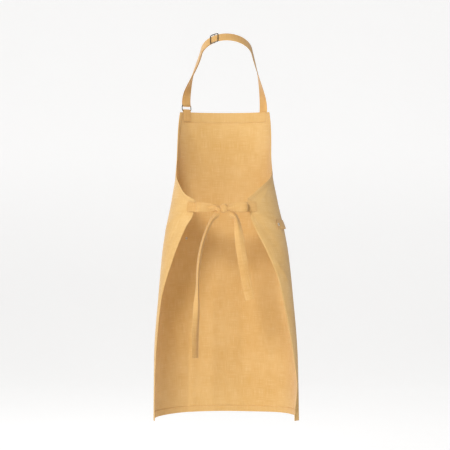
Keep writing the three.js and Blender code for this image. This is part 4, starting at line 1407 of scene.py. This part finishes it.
# %% knot
def pillow(name, centre, half, tilt, grooves, squareness):
    """A lump of gathered strap: a rounded box, whose height falls along its grooves.

    A groove is (slope, place, width, depth): a line across the front, tilted by slope.
    """
    u = np.linspace(0, math.pi, 50)[1:-1, None]
    v = np.linspace(0, 2 * math.pi, 97)[None, :-1]
    d = np.stack([np.cos(u) + 0 * v, np.sin(u) * np.cos(v), np.sin(u) * np.sin(v)], -1)
    spot = d * (np.abs(d) ** squareness).sum(-1, keepdims=True) ** (-1 / squareness)
    depth = 0
    for slope, place, width, deep in grooves:
        off = (spot[..., 0] + slope * spot[..., 2] - place) / width
        depth = depth + deep * np.exp(-(off**2))
    spot = spot * np.array(half) * (1 - depth)[..., None]
    c, s = math.cos(math.radians(tilt)), math.sin(math.radians(tilt))
    x, z = spot[..., 0] * c - spot[..., 2] * s, spot[..., 0] * s + spot[..., 2] * c
    rings = np.array(centre) + np.stack([x, spot[..., 1], z], -1)
    along = np.linspace(0, 2.2 * half[0], len(rings))
    around = np.linspace(0, 3.1 * (half[1] + half[2]), rings.shape[1] + 1)
    points, faces, uv, caps = carried(rings, along, around)
    made = new_piece(name, points, faces, uv, STRAP, "apron", "strap_cloth", caps=caps)
    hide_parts("bow_knot")
    return made


knot = pillow(
    "knot_wrap",
    (KNOT_X - 6.5, KNOT_Y + 0.3, -KNOT_DROP - 0.3),
    (10.8, 8.4, 12.8),
    -6,
    [(0.3, 0.62, 0.1, 0.12), (0.3, -0.6, 0.1, 0.12), (-0.5, 0.05, 0.12, 0.05)],
    3.2,
)
knot_side = pillow(
    "knot_side_wrap",
    (KNOT_X + 9.5, KNOT_Y + 1.2, -KNOT_DROP - 4.4),
    (7.6, 6.2, 7.2),
    32,
    [(0.2, 0.3, 0.14, 0.1), (0.2, -0.4, 0.14, 0.08)],
    2.6,
)
print("knot", len(knot.data.polygons) + len(knot_side.data.polygons), "faces")

# %% tails
TAIL_TOP, TAIL_SPREAD = 22, STRAP_WIDTH + 2  # left tail's middle, and from it to the right one
TAIL_PLAY, TAIL_TUCK = 1.0, 2.0  # room under the knot, and how far a tail goes up behind it
TAIL_TOP_WIDTH = 15
BETWEEN_SEAMS = ((1, slice(4, 26)), (-1, slice(33, 55)))  # a section's corners on each face
# Each row: offset sideways, distance down, lean outwards, then twist and fold in degrees
TAIL_LEFT = [
    (0, 0, 0, 4, 20),
    (4, 4, 0, 4, 32),
    (12, 12, 0.5, 4, 56),
    (22, 24, 1, 4, 64),
    (35, 52, 1, 3, 68),
    (47, 86, 1.5, 2, 69),
    (54.5, 121, 2, 3, 67),
    (59.5, 158, 2, 0, 69),
    (62.5, 220, 2.5, -8, 71),
    (65, 300, 3, -38, 30),
    (68, 360, 3, -46, 14),
    (68, 420, 3, -49, 8),
]
TAIL_RIGHT = [
    (0, 0, 0, -2, 20),
    (-5, 3, 0, -2, 32),
    (-14, 9, 0, -2, 54),
    (-20, 18, 0.5, -3, 56),
    (-24, 38, 0.5, -5, 42),
    (-28.5, 70, 1, -6, 18),
    (-34.5, 114, 1.5, -4, 9),
    (-41.5, 157, 2, 0, 7),
    (-50, 205, 2.5, 4, 6),
    (-61, 252, 3, 8, 6),
]


def catmull_rom(points, count):
    """Smooth curve through points, evenly by their number; each span leans on its neighbours."""
    p = np.concatenate([[2 * points[0] - points[1]], points, [2 * points[-1] - points[-2]]])
    at = np.linspace(0, len(points) - 1 - 1e-9, count)
    i = at.astype(int)
    t = (at - i)[:, None]
    a, b, c, d = p[i], p[i + 1], p[i + 2], p[i + 3]
    square, cube = 2 * a - 5 * b + 4 * c - d, 3 * b - a - 3 * c + d
    return 0.5 * (2 * b + (c - a) * t + square * t**2 + cube * t**3)


def tail(side, points, top_x):
    """A hanging tail: a line through (x, down, lean) with a twist and a lengthwise fold."""
    points = np.array(points, float)
    top = -KNOT_DROP - STRAP_WIDTH / 2 - TAIL_PLAY + TAIL_TUCK
    line = np.stack([top_x + points[:, 0], KNOT_Y + points[:, 2], top - points[:, 1]], 1)
    dense = resampled(catmull_rom(np.concatenate([line, points[:, 3:]], 1), 400), 220)
    centres, twist, ridge = dense[:, :3], np.radians(dense[:, 3]), np.radians(dense[:, 4])
    faces = np.stack([np.sin(twist), np.cos(twist), 0 * twist], 1)
    down = run_length(centres)
    width = mix(TAIL_TOP_WIDTH, STRAP_WIDTH, smooth(down / 16))
    name, body = f"tail_{side}_strap", f"tail_{side}"
    shape = {"width": width, "thick": TIE_THICK, "ridge": ridge}
    strap(name, centres, faces, f"tie_tail_{side}", body, **shape)
    rings = strap_rings(centres, faces, width, TIE_THICK, ridge=ridge)[0]
    _, face, _ = strap_frames(centres, faces)
    rows = []
    for back in (3.0, 9.0):
        k = int(np.argmin(np.abs(down[-1] - down - back)))
        for way, corners in BETWEEN_SEAMS:
            line = rings[k, corners]
            normal = face[k] * way + 0 * line
            rows.append(stitch_row(line + SIT * normal, normal, pitch=2.7, length=2.1))
    return sewn(f"{name}_end_stitches", rows, body)


left_end = tail("left", TAIL_LEFT, TAIL_TOP)
right_end = tail("right", TAIL_RIGHT, TAIL_TOP - TAIL_SPREAD)
print("tails", cut("tail_left_strap", "tail_right_strap"))

# %% [markdown]
# ## The straps and how each is held
#
# A garment is made of flat pieces. Each strap is listed with how it is held, what it rests on and
# the stitches that go with it; the loop only reads each strap's length.

rules = [
    ("neck_band", "hung", "canvas_panel", [sewn_box]),
    ("chest_band", "hung", "ring_wire", []),
    ("inner_chest_band", "hung", "ring_wire", []),
    ("inner_neck_band", "folded", "slider_middle_bar", []),
    ("tie_left_strap", "stretched", "canvas_panel", []),
    ("tie_right_strap", "stretched", "canvas_panel", []),
    ("bow_left_strap", "folded", "knot_wrap", []),
    ("bow_right_strap", "folded", "knot_wrap", []),
    ("tail_left_strap", "hung", "knot_wrap", [left_end]),
    ("tail_right_strap", "hung", "knot_wrap", [right_end]),
    ("towel_loop_strap", "hung", "canvas_panel", []),
    ("ring_tab_strap", "folded", "ring_wire", [tab_box]),
]
for name, held, rests_on, more in rules:
    piece, threads, length = STRAPS[name]
    length * MM
print("sheets", 2 + len(rules))
